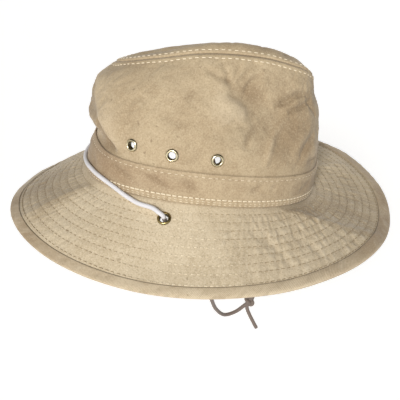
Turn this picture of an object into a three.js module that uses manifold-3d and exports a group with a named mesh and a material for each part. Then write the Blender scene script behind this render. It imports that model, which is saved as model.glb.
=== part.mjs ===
import * as THREE from 'three';
import { mergeVertices } from 'three/addons/utils/BufferGeometryUtils.js';
import Module from 'manifold-3d';

const wasm = await Module();
wasm.setup();

// A safari hat in waxed cotton, in millimetres.
// +X is the front of the hat, +Y the wearer's left and +Z up.
// The origin is the middle of the head opening, at the mean height of the seam
// that joins crown and brim. Angles go round the crown from the front, to the
// wearer's left.

// Driving dimensions of the cloth
const HEAD_HALF_LENGTH = 99;
const HEAD_HALF_WIDTH = 91;
const HEAD_BACK_FULLNESS = 0.15;
const SEAM_RISE_AT_SIDES = 5.1;
const CROWN_HEIGHT = 112;
const CROWN_CLOTH = 1.8;
const TIP_PUFF = 6;
const DENT_DEPTH = 11;
const BAND_HEIGHT = 27;
const BAND_CLOTH = 1.4;
const BRIM_WIDTH = 74;
const BRIM_CLOTH = 2.0;
const BINDING_WIDTH = 10.5;
const BINDING_CLOTH = 1.0;
const SEWN_GAP = 0.3;

// Driving dimensions of the metal rings
const EYELET_HEIGHT = 42;
const EYELET_MIDDLE_ANGLE = 96.4;
const EYELET_SPACING_ANGLE = 19.5;
const EYELET_BORE_RADIUS = 2.9;
const EYELET_FLANGE_RADIUS = 5.0;
const GROMMET_ANGLE = 95.1;
const GROMMET_FROM_SEAM = 14.4;
const GROMMET_BORE_RADIUS = 3.3;
const GROMMET_FLANGE_RADIUS = 5.4;
const RING_METAL = 0.6;
const RING_SEAT_GAP = 0.65;

// Driving dimensions of the cord
const CORD_DIAMETER = 3.6;
const CORD_SIDES = 8;
const CORD_STEP = 10.5;
const CORD_END_GAP = 0.4;
const KNOT_LENGTH = 9;
const KNOT_THICKNESS = 7.5;

// Number of facets
const ROUND_SEGMENTS = 64;
const RING_SEGMENTS = 12;
const WALL_ROWS_ABOVE_BAND = 9;
const TIP_ROWS = 5;
const BRIM_ROWS = 3;

// Droop of the brim below level, in degrees, evenly spaced round the hat
const BRIM_DROOP = [
  { angle: 0, droop: 8.4 },
  { angle: 30, droop: 1.0 },
  { angle: 60, droop: 5.1 },
  { angle: 90, droop: 21.3 },
  { angle: 120, droop: 32.4 },
  { angle: 150, droop: 36.0 },
  { angle: 180, droop: 33.4 },
  { angle: 210, droop: 28.4 },
  { angle: 240, droop: 34.3 },
  { angle: 270, droop: 40.4 },
  { angle: 300, droop: 29.6 },
  { angle: 330, droop: 16.1 },
];

// Height of the seam round the tip, as shares of the crown's height
const TIP_SEAM = [
  { angle: 0, height: 0.857 },
  { angle: 30, height: 0.857 },
  { angle: 60, height: 0.884 },
  { angle: 90, height: 0.875 },
  { angle: 120, height: 0.804 },
  { angle: 150, height: 0.741 },
  { angle: 180, height: 0.732 },
  { angle: 210, height: 0.795 },
  { angle: 240, height: 0.893 },
  { angle: 270, height: 0.991 },
  { angle: 300, height: 1.0 },
  { angle: 330, height: 0.938 },
];

// Level sections of the crown wall: height as a share of the wall, and the reach
// to each side as shares of the head opening's half length and half width
const CROWN_SECTIONS = [
  { height: 0.0, front: 1.0, back: 1.0, right: 1.0, left: 1.0 },
  { height: 0.28, front: 1.0, back: 0.985, right: 0.985, left: 0.985 },
  { height: 0.5, front: 0.97, back: 1.04, right: 0.925, left: 0.94 },
  { height: 0.7, front: 0.937, back: 1.03, right: 0.81, left: 0.82 },
  { height: 0.86, front: 0.892, back: 0.975, right: 0.675, left: 0.68 },
  { height: 1.0, front: 0.827, back: 0.835, right: 0.5, left: 0.47 },
];

// The crease along the tip: place as a share of the head opening's half length,
// height as a share of the crown's height
const TIP_CREASE = [
  { along: -0.566, height: 0.732 },
  { along: -0.303, height: 0.768 },
  { along: 0.0, height: 0.83 },
  { along: 0.283, height: 0.946 },
  { along: 0.525, height: 1.009 },
];

// Dents pressed into the crown wall: height and spread as shares of the wall,
// depth as a share of the deepest dent, and the angle over which each fades
const DENTS = [
  { angle: -58, height: 0.7, depth: 1.0, fade: 21, spread: 0.18 },
  { angle: 58, height: 0.7, depth: 0.82, fade: 21, spread: 0.18 },
  { angle: -152, height: 0.36, depth: 0.82, fade: 24, spread: 0.1 },
  { angle: 150, height: 0.36, depth: 0.55, fade: 24, spread: 0.1 },
];

// Routes of the cords, as chosen points
const CORD_OVER_BRIM_ROUTE = [
  [-9.7, -103.5, -3.4], [-10.6, -104.9, -0.6], [-13.6, -105.3, 2.2],
  [-19.0, -103.0, 5.0], [-26.0, -98.8, 7.2], [-34.5, -94.1, 8.9],
  [-44.8, -90.8, 11.5], [-58.5, -84.3, 12.6], [-70.7, -75.2, 12.9],
  [-80.1, -65.1, 12.4], [-87.9, -53.4, 11.4], [-95.5, -36.9, 9.9],
  [-100.2, -18.9, 8.4], [-101.8, 0.0, 7.7], [-100.1, 18.8, 8.4],
  [-95.4, 36.8, 9.9], [-87.9, 53.3, 11.4], [-80.0, 65.0, 12.4],
  [-70.6, 75.0, 12.9], [-58.4, 84.2, 12.6], [-44.7, 90.7, 11.5],
  [-34.5, 94.6, 10.4], [-26.5, 99.0, 9.4], [-19.5, 103.2, 8.0],
  [-14.2, 105.8, 5.8], [-11.0, 106.1, 3.2], [-9.9, 105.4, 0.2],
];
const CHIN_CORD_RIGHT_ROUTE = [
  [-9.7, -103.5, -3.4], [-8.9, -99.4, -8.5], [-5.0, -93.0, -20.0],
  [7.0, -78.0, -48.0], [19.0, -58.0, -81.0], [31.5, -38.0, -112.4],
  [37.0, -26.0, -131.0], [44.4, -14.0, -143.0], [53.0, -7.0, -142.5],
  [61.9, -1.7, -136.2],
];
const CHIN_CORD_LEFT_ROUTE = [
  [-9.9, 105.4, 0.2], [-9.2, 103.2, -5.9], [-5.0, 98.5, -20.0],
  [9.0, 84.0, -49.0], [25.0, 61.0, -82.0], [43.0, 35.0, -110.0],
  [57.0, 13.0, -127.6], [62.9, 3.5, -132.2],
];
const CHIN_CORD_TAIL_ROUTE = [
  [66.1, -0.2, -137.9], [68.2, -0.9, -143.4], [71.2, -1.5, -150.5],
  [74.0, -2.0, -157.0], [76.2, -2.0, -163.0],
];
const KNOT_CENTRE = [65, 0, -134];

const radians = (degrees) => (degrees * Math.PI) / 180;

// A cubic curve through four evenly spaced values, between the middle two
function throughFour(before, from, to, after, share) {
  const bend = 2 * before - 5 * from + 4 * to - after;
  const twist = 3 * (from - to) + after - before;
  return from + 0.5 * share * (to - before + share * (bend + share * twist));
}

// A value that goes smoothly round the hat through evenly spaced rows
function aroundHat(rows, column, angle) {
  const count = rows.length;
  const turns = angle / (2 * Math.PI);
  const place = (turns - Math.floor(turns)) * count;
  const row = Math.floor(place);
  const at = (shift) => rows[(row + shift + count) % count][column];
  return throughFour(at(-1), at(0), at(1), at(2), place - row);
}

// A value that goes smoothly up a table whose first column is its place
function upTable(rows, placeColumn, column, place) {
  const last = rows.length - 1;
  const slope = (k) => {
    const below = rows[Math.max(k - 1, 0)];
    const above = rows[Math.min(k + 1, last)];
    return (above[column] - below[column]) / (above[placeColumn] - below[placeColumn]);
  };
  let k = 0;
  while (k < last - 1 && place > rows[k + 1][placeColumn]) {
    k += 1;
  }
  const step = rows[k + 1][placeColumn] - rows[k][placeColumn];
  const share = THREE.MathUtils.clamp((place - rows[k][placeColumn]) / step, 0, 1);
  const before = rows[k][column];
  const after = rows[k + 1][column];
  const blend = share * share * (3 - 2 * share);
  const leave = share * (1 - share) * (1 - share) * step * slope(k);
  const arrive = share * share * (share - 1) * step * slope(k + 1);
  return before + (after - before) * blend + leave + arrive;
}

// The head opening: an oval, fuller at the back
function openingAt(angle) {
  const width = HEAD_HALF_WIDTH * (1 - HEAD_BACK_FULLNESS * Math.cos(angle));
  return new THREE.Vector2(HEAD_HALF_LENGTH * Math.cos(angle), width * Math.sin(angle));
}

function seamHeightAt(angle) {
  return -SEAM_RISE_AT_SIDES * Math.cos(2 * angle);
}

function outwardAt(angle) {
  const across = Math.sin(angle) / HEAD_HALF_WIDTH;
  return new THREE.Vector2(Math.cos(angle) / HEAD_HALF_LENGTH, across).normalize();
}

function wallHeightAt(angle) {
  return CROWN_HEIGHT * aroundHat(TIP_SEAM, 'height', angle) - seamHeightAt(angle);
}

function dentDepthAt(angle, height) {
  return DENTS.reduce((sum, dent) => {
    const turned = THREE.MathUtils.euclideanModulo(angle - radians(dent.angle) + Math.PI, 2 * Math.PI);
    const round = (turned - Math.PI) / radians(dent.fade);
    const up = (height - dent.height) / dent.spread;
    return sum + DENT_DEPTH * dent.depth * Math.exp(-round * round - up * up);
  }, 0);
}

// Outside of the crown wall, height from 0 at the brim seam to 1 at the tip seam
function wallAt(angle, height) {
  const lengthwise = Math.cos(angle) > 0 ? 'front' : 'back';
  const sideways = Math.sin(angle) > 0 ? 'left' : 'right';
  const opening = openingAt(angle);
  const x = opening.x * upTable(CROWN_SECTIONS, 'height', lengthwise, height);
  const y = opening.y * upTable(CROWN_SECTIONS, 'height', sideways, height);
  const inward = outwardAt(angle).multiplyScalar(-dentDepthAt(angle, height));
  const z = seamHeightAt(angle) + height * wallHeightAt(angle);
  return new THREE.Vector3(x + inward.x, y + inward.y, z);
}

// Outside of the tip, share from 0 at its seam to 1 at the crease
function tipAt(angle, share) {
  const seam = wallAt(angle, 1);
  const folded = Math.abs(THREE.MathUtils.euclideanModulo(angle + Math.PI, 2 * Math.PI) - Math.PI);
  const back = TIP_CREASE[0].along;
  const front = TIP_CREASE[TIP_CREASE.length - 1].along;
  const along = front + ((back - front) * folded) / Math.PI;
  const creaseHeight = CROWN_HEIGHT * upTable(TIP_CREASE, 'along', 'height', along);
  const crease = new THREE.Vector3(HEAD_HALF_LENGTH * along, 0, creaseHeight);
  const level = share * share * (3 - 2 * share);
  const puffShare = 6.75 * share * (1 - share) * (1 - share);
  const puff = TIP_PUFF * puffShare * (0.6 + 0.4 * Math.abs(Math.sin(angle)));
  const point = seam.clone().lerp(crease, share);
  point.z = seam.z + (crease.z - seam.z) * level + puff;
  return point;
}

// One surface over the whole crown: 0 to 1 up the wall, 1 to 2 over the tip
function crownAt(angle, place) {
  return place <= 1 ? wallAt(angle, place) : tipAt(angle, place - 1);
}

// Outward normal of the crown, measured across a small patch
function crownNormalAt(angle, place) {
  const turn = 0.01;
  const step = 0.02;
  const low = Math.max(place - step, 0);
  const high = Math.min(place + step, 1.98);
  const round = crownAt(angle + turn, place).sub(crownAt(angle - turn, place));
  const up = crownAt(angle, high).sub(crownAt(angle, Math.min(low, high - step)));
  return round.cross(up).normalize();
}

// A point at a distance outside the crown's outer surface
function besideCrown(angle, place, distance) {
  const point = crownAt(angle, place);
  const creased = place >= 2;
  const normal = crownNormalAt(angle, creased ? 1.94 : place);
  if (creased) {
    normal.add(crownNormalAt(-angle, 1.94)).normalize();
  }
  return point.addScaledVector(normal, distance);
}

// A point of the brim: along from the seam, up from its upper surface
function brimAt(angle, along, up) {
  const droop = radians(aroundHat(BRIM_DROOP, 'droop', angle));
  const out = outwardAt(angle);
  const opening = openingAt(angle);
  const reach = along * Math.cos(droop) + up * Math.sin(droop);
  const rise = up * Math.cos(droop) - along * Math.sin(droop);
  return new THREE.Vector3(
    opening.x + out.x * reach,
    opening.y + out.y * reach,
    seamHeightAt(angle) + rise,
  );
}

// A closed solid through rings of points; the last ring joins the first if looped.
// Each four-cornered patch is split the same way on both faces of a cloth, from the
// ring that comes first in order.
function solidThroughRings(rings, looped) {
  const count = rings[0].points.length;
  const positions = rings.flatMap((ring) => ring.points.flatMap((point) => point.toArray()));
  const indices = [];
  const bands = looped ? rings.length : rings.length - 1;
  for (let row = 0; row < bands; row += 1) {
    const next = (row + 1) % rings.length;
    for (let i = 0; i < count; i += 1) {
      const j = (i + 1) % count;
      const a = row * count + i;
      const b = row * count + j;
      const c = next * count + j;
      const d = next * count + i;
      if (rings[row].order <= rings[next].order) {
        indices.push(a, b, c, a, c, d);
      } else {
        indices.push(a, b, d, b, c, d);
      }
    }
  }
  const geometry = new THREE.BufferGeometry();
  geometry.setAttribute('position', new THREE.Float32BufferAttribute(positions, 3));
  geometry.setIndex(indices);
  return closed(geometry);
}

// Merged vertices, no empty triangles and faces pointing out
function closed(source) {
  const bare = source.clone();
  bare.deleteAttribute('normal');
  bare.deleteAttribute('uv');
  const geometry = mergeVertices(bare, 1e-3);
  const index = geometry.getIndex().array;
  const kept = [];
  for (let k = 0; k < index.length; k += 3) {
    const [a, b, c] = index.subarray(k, k + 3);
    if (a !== b && b !== c && c !== a) {
      kept.push(a, b, c);
    }
  }
  geometry.setIndex(kept);
  if (volumeOf(geometry) < 0) {
    geometry.setIndex(kept.slice().reverse());
  }
  geometry.computeVertexNormals();
  return geometry;
}

function volumeOf(geometry) {
  const index = geometry.getIndex().array;
  const position = geometry.getAttribute('position');
  const corner = (k) => new THREE.Vector3().fromBufferAttribute(position, index[k]);
  let volume = 0;
  for (let k = 0; k < index.length; k += 3) {
    volume += corner(k).dot(corner(k + 1).cross(corner(k + 2))) / 6;
  }
  return volume;
}

function toManifold(geometry) {
  return new wasm.Manifold(new wasm.Mesh({
    numProp: 3,
    vertProperties: new Float32Array(geometry.getAttribute('position').array),
    triVerts: new Uint32Array(geometry.getIndex().array),
  }));
}

function fromManifold(solid) {
  const mesh = solid.getMesh();
  const geometry = new THREE.BufferGeometry();
  geometry.setAttribute('position', new THREE.Float32BufferAttribute(mesh.vertProperties, 3));
  geometry.setIndex(Array.from(mesh.triVerts));
  geometry.computeVertexNormals();
  return geometry;
}

const ANGLES = Array.from({ length: ROUND_SEGMENTS }, (_, i) => (2 * Math.PI * i) / ROUND_SEGMENTS);

// A ring of points round the hat, one at each angle, and its order across the cloth
const ringOf = (order, pointAt) => ({ order, points: ANGLES.map(pointAt) });

// Where the cloth pieces end at a seam, as places on the crown
const bandTopAt = (angle) => BAND_HEIGHT / wallHeightAt(angle);
const seamGapAt = (angle) => SEWN_GAP / 2 / wallHeightAt(angle);

// A strip of cloth round the crown, between two distances from its outside
function clothRound(places, outer, inner) {
  const face = (distance) => places.map((place, order) => (
    ringOf(order, (angle) => besideCrown(angle, place(angle), distance))
  ));
  return solidThroughRings([...face(outer), ...face(inner).reverse()], true);
}

function makeCrownWall() {
  const places = [(angle) => seamGapAt(angle), (angle) => bandTopAt(angle) / 2, bandTopAt];
  for (let k = 1; k <= WALL_ROWS_ABOVE_BAND; k += 1) {
    const share = k / WALL_ROWS_ABOVE_BAND;
    places.push((angle) => {
      const top = 1 - 2 * seamGapAt(angle);
      return bandTopAt(angle) + (top - bandTopAt(angle)) * share;
    });
  }
  return clothRound(places, 0, -CROWN_CLOTH);
}

function makeCrownTip() {
  const gap = SEWN_GAP / HEAD_HALF_WIDTH;
  const shares = Array.from({ length: TIP_ROWS + 1 }, (_, k) => k / TIP_ROWS);
  const places = shares.map((share) => 1 + gap + (1 - gap) * share);
  const face = (distance) => places.map((place, order) => (
    ringOf(order, (angle) => besideCrown(angle, place, distance))
  ));
  return solidThroughRings([...face(0).reverse(), ...face(-CROWN_CLOTH)], false);
}

function makeHatband() {
  const foot = (angle) => 2 * SEWN_GAP / wallHeightAt(angle);
  const places = [foot, (angle) => bandTopAt(angle) / 2, bandTopAt];
  return clothRound(places, SEWN_GAP + BAND_CLOTH, SEWN_GAP);
}

// Where the brim's cloth ends inside the fold of the binding
const BRIM_CLOTH_WIDTH = BRIM_WIDTH - BINDING_CLOTH - SEWN_GAP;

function makeBrim() {
  const rows = Array.from({ length: BRIM_ROWS + 1 }, (_, k) => (BRIM_CLOTH_WIDTH * k) / BRIM_ROWS);
  const innerEdge = (up) => ringOf(-1, (angle) => {
    const out = outwardAt(angle);
    const seam = brimAt(angle, 0, 0);
    seam.x -= out.x * CROWN_CLOTH;
    seam.y -= out.y * CROWN_CLOTH;
    seam.z += up;
    return seam;
  });
  const face = (up) => rows.map((along) => ringOf(along, (angle) => brimAt(angle, along, up)));
  const top = -SEWN_GAP / 2;
  const upper = [innerEdge(top), ...face(top)];
  const lower = [innerEdge(top - BRIM_CLOTH), ...face(top - BRIM_CLOTH)];
  return solidThroughRings([...upper, ...lower.reverse()], true);
}

function makeBinding() {
  const inner = BRIM_WIDTH - BINDING_WIDTH;
  const fold = BRIM_WIDTH - BINDING_CLOTH;
  const soft = BINDING_CLOTH;
  const top = -SEWN_GAP / 2 + SEWN_GAP;
  const bottom = -SEWN_GAP / 2 - BRIM_CLOTH - SEWN_GAP;
  const section = [
    [inner, top], [inner, top + BINDING_CLOTH],
    [BRIM_WIDTH - soft, top + BINDING_CLOTH], [BRIM_WIDTH, top + BINDING_CLOTH - soft],
    [BRIM_WIDTH, bottom - BINDING_CLOTH + soft], [BRIM_WIDTH - soft, bottom - BINDING_CLOTH],
    [inner, bottom - BINDING_CLOTH], [inner, bottom],
    [fold, bottom], [fold, top],
  ];
  const rings = section.map(([along, up]) => ringOf(along, (angle) => brimAt(angle, along, up)));
  return solidThroughRings(rings, true);
}

// A ring that grips cloth between two flanges; its axis is +Y, and the cloth's
// outer face lies at y = 0
function makeRing(bore, flange, cloth) {
  const barrel = bore + RING_METAL;
  const over = RING_SEAT_GAP;
  const under = -cloth - RING_SEAT_GAP;
  const profile = [
    [bore, under - RING_METAL], [flange - RING_METAL, under - RING_METAL], [flange - RING_METAL, under],
    [barrel, under], [barrel, over], [flange, over],
    [flange - RING_METAL / 2, over + RING_METAL], [bore + RING_METAL, over + 2 * RING_METAL],
    [bore, over + RING_METAL], [bore, under - RING_METAL],
  ].map(([r, y]) => new THREE.Vector2(r, y));
  return closed(new THREE.LatheGeometry(profile, RING_SEGMENTS));
}

function holeCutter(bore, cloth) {
  const radius = bore + RING_METAL + SEWN_GAP;
  return closed(new THREE.CylinderGeometry(radius, radius, 6 * cloth, RING_SEGMENTS));
}

// Turns +Y to the normal and moves the origin to the point
function placement(point, normal) {
  const turn = new THREE.Quaternion().setFromUnitVectors(new THREE.Vector3(0, 1, 0), normal);
  return new THREE.Matrix4().compose(point, turn, new THREE.Vector3(1, 1, 1));
}

function eyeletPlacement(angle) {
  const height = (EYELET_HEIGHT - seamHeightAt(angle)) / wallHeightAt(angle);
  return placement(besideCrown(angle, height, 0), crownNormalAt(angle, height));
}

function grommetPlacement(angle) {
  const seat = brimAt(angle, GROMMET_FROM_SEAM, -SEWN_GAP / 2);
  const above = brimAt(angle, GROMMET_FROM_SEAM, 1 - SEWN_GAP / 2);
  return placement(seat, above.sub(seat).normalize());
}

function withHoles(geometry, cutter, placements) {
  const solid = placements.reduce(
    (left, place) => left.subtract(toManifold(cutter.clone().applyMatrix4(place))),
    toManifold(geometry),
  );
  return fromManifold(solid);
}

// A cord of eight sides along its route
function makeCord(route, trimStart, trimEnd) {
  const curve = new THREE.CatmullRomCurve3(route.map((p) => new THREE.Vector3(...p)), false, 'centripetal');
  const length = curve.getLength();
  const ends = [trimStart / length, 1 - trimEnd / length];
  const trimmed = new THREE.CatmullRomCurve3(
    Array.from({ length: 4 * route.length }, (_, k) => {
      const share = k / (4 * route.length - 1);
      return curve.getPointAt(ends[0] + (ends[1] - ends[0]) * share);
    }),
    false,
    'centripetal',
  );
  const section = new THREE.Shape(Array.from({ length: CORD_SIDES }, (_, k) => {
    const turn = (2 * Math.PI * k) / CORD_SIDES;
    return new THREE.Vector2(Math.cos(turn), Math.sin(turn)).multiplyScalar(CORD_DIAMETER / 2);
  }));
  const steps = Math.ceil(length / CORD_STEP);
  return closed(new THREE.ExtrudeGeometry(section, { extrudePath: trimmed, steps, bevelEnabled: false }));
}

function makeKnot() {
  const knot = new THREE.SphereGeometry(0.5, 10, 6);
  knot.scale(KNOT_THICKNESS, KNOT_LENGTH, KNOT_THICKNESS);
  return closed(knot);
}

// Materials
const waxedCotton = new THREE.MeshStandardMaterial({ color: 0xc4a678, roughness: 0.85, metalness: 0 });
const bandCotton = new THREE.MeshStandardMaterial({ color: 0xb5946a, roughness: 0.85, metalness: 0 });
const biasTape = new THREE.MeshStandardMaterial({ color: 0xb89a6c, roughness: 0.9, metalness: 0 });
const agedBrass = new THREE.MeshStandardMaterial({ color: 0x9c8a5e, roughness: 0.35, metalness: 1 });
const whiteCord = new THREE.MeshStandardMaterial({ color: 0xe4e2e0, roughness: 0.7, metalness: 0 });
const taupeCord = new THREE.MeshStandardMaterial({ color: 0x807068, roughness: 0.8, metalness: 0 });

const hat = new THREE.Group();

function add(name, geometry, material, place = new THREE.Matrix4()) {
  const mesh = new THREE.Mesh(geometry, material);
  mesh.name = name;
  mesh.applyMatrix4(place);
  hat.add(mesh);
}

const SIDES = [{ name: 'right', turn: -1 }, { name: 'left', turn: 1 }];
const eyelets = SIDES.flatMap(({ name, turn }) => [-1, 0, 1].map((step) => ({
  name: `vent_eyelet_${name}_${step + 2}`,
  place: eyeletPlacement(turn * radians(EYELET_MIDDLE_ANGLE - step * EYELET_SPACING_ANGLE)),
})));
const grommets = SIDES.map(({ name, turn }) => ({
  name: `cord_grommet_${name}`,
  place: grommetPlacement(turn * radians(GROMMET_ANGLE)),
}));

const ventHole = holeCutter(EYELET_BORE_RADIUS, CROWN_CLOTH);
const cordHole = holeCutter(GROMMET_BORE_RADIUS, BRIM_CLOTH);
add('crown_wall', withHoles(makeCrownWall(), ventHole, eyelets.map((ring) => ring.place)), waxedCotton);
add('crown_tip', makeCrownTip(), waxedCotton);
add('hatband', makeHatband(), bandCotton);
add('brim', withHoles(makeBrim(), cordHole, grommets.map((ring) => ring.place)), waxedCotton);
add('brim_binding', makeBinding(), biasTape);

const eyelet = makeRing(EYELET_BORE_RADIUS, EYELET_FLANGE_RADIUS, CROWN_CLOTH);
const grommet = makeRing(GROMMET_BORE_RADIUS, GROMMET_FLANGE_RADIUS, BRIM_CLOTH);
eyelets.forEach(({ name, place }) => add(name, eyelet, agedBrass, place));
grommets.forEach(({ name, place }) => add(name, grommet, agedBrass, place));

// The white and taupe cords meet end to end in the mouth of each grommet
add('cord_over_brim', makeCord(CORD_OVER_BRIM_ROUTE, CORD_END_GAP, CORD_END_GAP), whiteCord);
add('chin_cord_right', makeCord(CHIN_CORD_RIGHT_ROUTE, CORD_END_GAP, 0), taupeCord);
add('chin_cord_left', makeCord(CHIN_CORD_LEFT_ROUTE, CORD_END_GAP, 0), taupeCord);
add('chin_cord_tail', makeCord(CHIN_CORD_TAIL_ROUTE, 0, 0), taupeCord);
add('chin_knot', makeKnot(), taupeCord, new THREE.Matrix4().makeTranslation(...KNOT_CENTRE));

export default hat;
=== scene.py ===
"""A safari hat in waxed cotton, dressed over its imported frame.

The hat's own frame is used throughout: +X is the front, +Y the wearer's left and
+Z up, and the origin is the middle of the head opening. Shapes are worked out in
millimetres and turned into metres when a mesh is made. Angles go round the hat from
the front, to the wearer's left.
"""
import logging
import math
from collections.abc import Callable, Sequence
from dataclasses import dataclass, field
from enum import Enum
from typing import NamedTuple

import bpy
import numpy as np
from mathutils import Matrix


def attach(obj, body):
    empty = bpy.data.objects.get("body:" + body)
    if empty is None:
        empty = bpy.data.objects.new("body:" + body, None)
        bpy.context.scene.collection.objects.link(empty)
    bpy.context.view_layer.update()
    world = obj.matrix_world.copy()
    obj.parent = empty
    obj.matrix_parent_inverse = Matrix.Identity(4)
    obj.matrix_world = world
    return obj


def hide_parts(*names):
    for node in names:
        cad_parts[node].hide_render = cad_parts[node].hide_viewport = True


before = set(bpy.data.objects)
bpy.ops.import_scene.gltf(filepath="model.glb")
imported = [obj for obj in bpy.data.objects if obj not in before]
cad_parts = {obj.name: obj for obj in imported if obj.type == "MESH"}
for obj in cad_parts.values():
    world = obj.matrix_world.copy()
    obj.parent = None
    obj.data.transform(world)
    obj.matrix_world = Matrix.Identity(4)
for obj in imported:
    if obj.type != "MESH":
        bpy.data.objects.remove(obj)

Array = np.ndarray
Colour = tuple[float, float, float]
Surface = Callable[[Array, Array, Array], Array]

LOG = logging.getLogger("safari_hat")
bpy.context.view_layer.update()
MM = 0.001
TURN = 2 * math.pi


# Small tables and sums that the shapes share

class Section(NamedTuple):
    """A level section of the crown wall, as shares of the head opening's half sizes."""

    height: float
    front: float
    back: float
    right: float
    left: float


class CreasePoint(NamedTuple):
    """A point of the crease along the tip, as shares of half length and crown height."""

    along: float
    height: float


class Dent(NamedTuple):
    """A broad dent in the crown wall."""

    angle: float
    height: float
    depth: float
    fade: float
    spread: float


class Fold(NamedTuple):
    """A pressed fold in a cloth, along a short path.

    The path is in degrees round the hat and millimetres up the wall or out along the
    brim. The depth is in millimetres, less than nothing for a ridge. The widths are
    those to the left and right of someone who goes along the path.
    """

    path: tuple[tuple[float, float], ...]
    depth: float
    left: float
    right: float
    edge: float = 2.0


class SoilAndShadePatch(NamedTuple):
    """A soft darker patch that stands for soil and for painted shade: its middle in degrees and
    millimetres, its reach and its strength.
    """

    angle: float
    up: float
    wide: float
    tall: float
    strength: float


def column(rows: Sequence[NamedTuple], name: str) -> Array:
    """Returns one column of a table as an array."""
    return np.array([getattr(row, name) for row in rows], float)


def around(values: Sequence[float], angle: Array) -> Array:
    """Goes smoothly through evenly spaced values round the hat.

    Args:
        values: One value for each even step of angle, from the front.
        angle: Angles in radians.

    Returns:
        The value at each angle.
    """
    table, count = np.array(values), len(values)
    place = np.mod(angle / TURN, 1.0) * count
    row = np.floor(place).astype(int)
    share = place - row
    before, here, after, beyond = (table[(row + k) % count] for k in (-1, 0, 1, 2))
    bend = 2 * before - 5 * here + 4 * after - beyond
    twist = 3 * (here - after) + beyond - before
    return here + 0.5 * share * (after - before + share * (bend + share * twist))


def up_table(places: Array, values: Array, place: Array) -> Array:
    """Goes smoothly through values at rising places.

    Args:
        places: The places of the rows, rising.
        values: The value of each row.
        place: Where the value is wanted.

    Returns:
        The value at each place, held at the ends.
    """
    last = len(places) - 1
    rows = np.arange(last + 1)
    low, high = np.maximum(rows - 1, 0), np.minimum(rows + 1, last)
    slope = (values[high] - values[low]) / (places[high] - places[low])
    k = np.clip(np.searchsorted(places, place) - 1, 0, last - 1)
    step = places[k + 1] - places[k]
    share = np.clip((place - places[k]) / step, 0, 1)
    blend = share * share * (3 - 2 * share)
    leave = share * (1 - share) ** 2 * step * slope[k]
    arrive = share * share * (share - 1) * step * slope[k + 1]
    return values[k] + (values[k + 1] - values[k]) * blend + leave + arrive


def smooth_step(low: float, high: float, value: Array) -> Array:
    """Rises smoothly from 0 at low to 1 at high."""
    share = np.clip((value - low) / (high - low), 0, 1)
    return share * share * (3 - 2 * share)


def bell(distance: Array, width: float) -> Array:
    """Falls smoothly from 1 as the distance from nothing grows."""
    return np.exp(-((distance / width) ** 2))


def unit(vectors: Array) -> Array:
    """Returns the vectors at a length of one."""
    return vectors / np.maximum(np.linalg.norm(vectors, axis=-1, keepdims=True), 1e-9)


def even_turn(count: int) -> Array:
    """Returns evenly spaced angles once round."""
    return TURN * np.arange(count) / count


def degrees_beyond(angle: Array, middle: float) -> Array:
    """Returns how many degrees an angle lies beyond a middle, from -180 to 180."""
    return (np.degrees(angle) - middle + 180) % 360 - 180


def run_along(path: Array) -> Array:
    """Returns the length of a path up to each of its points."""
    return np.concatenate([[0], np.cumsum(np.linalg.norm(np.diff(path, axis=0), axis=1))])


def walk(path: Array, run: Array, places: Array) -> Array:
    """Returns the points of a path at chosen lengths along it."""
    return np.stack([np.interp(places, run, path[:, k]) for k in range(3)], 1)


def axes_matrix(right: Array, up: Array, back: Array, place: Array) -> Matrix:
    """Returns the matrix of an object with these axes at this place."""
    turned = np.eye(4)
    turned[:3] = np.stack([right, up, back, place], 1)
    return Matrix(turned.tolist())


def toward(azimuth: float, elevation: float) -> Array:
    """Returns the direction at an azimuth from -Y toward +X and an elevation, in degrees."""
    az, el = math.radians(azimuth), math.radians(elevation)
    return np.array([math.sin(az) * math.cos(el), -math.cos(az) * math.cos(el), math.sin(el)])


@dataclass(frozen=True)
class Crumple:
    """Smooth seeded unevenness that closes on itself round the hat."""

    seed: int
    cells_round: int
    cells_up: int
    slant: float = 0.0

    def at(self, turns: Array, up: Array) -> Array:
        """Gives the unevenness at places on a cloth.

        Args:
            turns: How far round, where 1 is once round.
            up: How far up or out, from 0 to 1.

        Returns:
            Values from -1 to 1.
        """
        knots = np.random.default_rng(self.seed).uniform(-1, 1,
            (self.cells_round, self.cells_up + 2))
        v = np.clip(up, 0, 1) * self.cells_up
        u = turns * self.cells_round + self.slant * v
        i, j = np.floor(u).astype(int), np.floor(v).astype(int)
        fu, fv = u - i, v - j
        fu, fv = fu * fu * (3 - 2 * fu), fv * fv * (3 - 2 * fv)
        a, b = knots[i % self.cells_round, j], knots[(i + 1) % self.cells_round, j]
        c, d = knots[i % self.cells_round, j + 1], knots[(i + 1) % self.cells_round, j + 1]
        return (a + (b - a) * fu) * (1 - fv) + (c + (d - c) * fu) * fv

    def ridges(self, turns: Array, up: Array) -> Array:
        """Gives thin raised lines between flat cells, from 0 to 1."""
        return (1 - np.abs(self.at(turns, up))) ** 3


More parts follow.
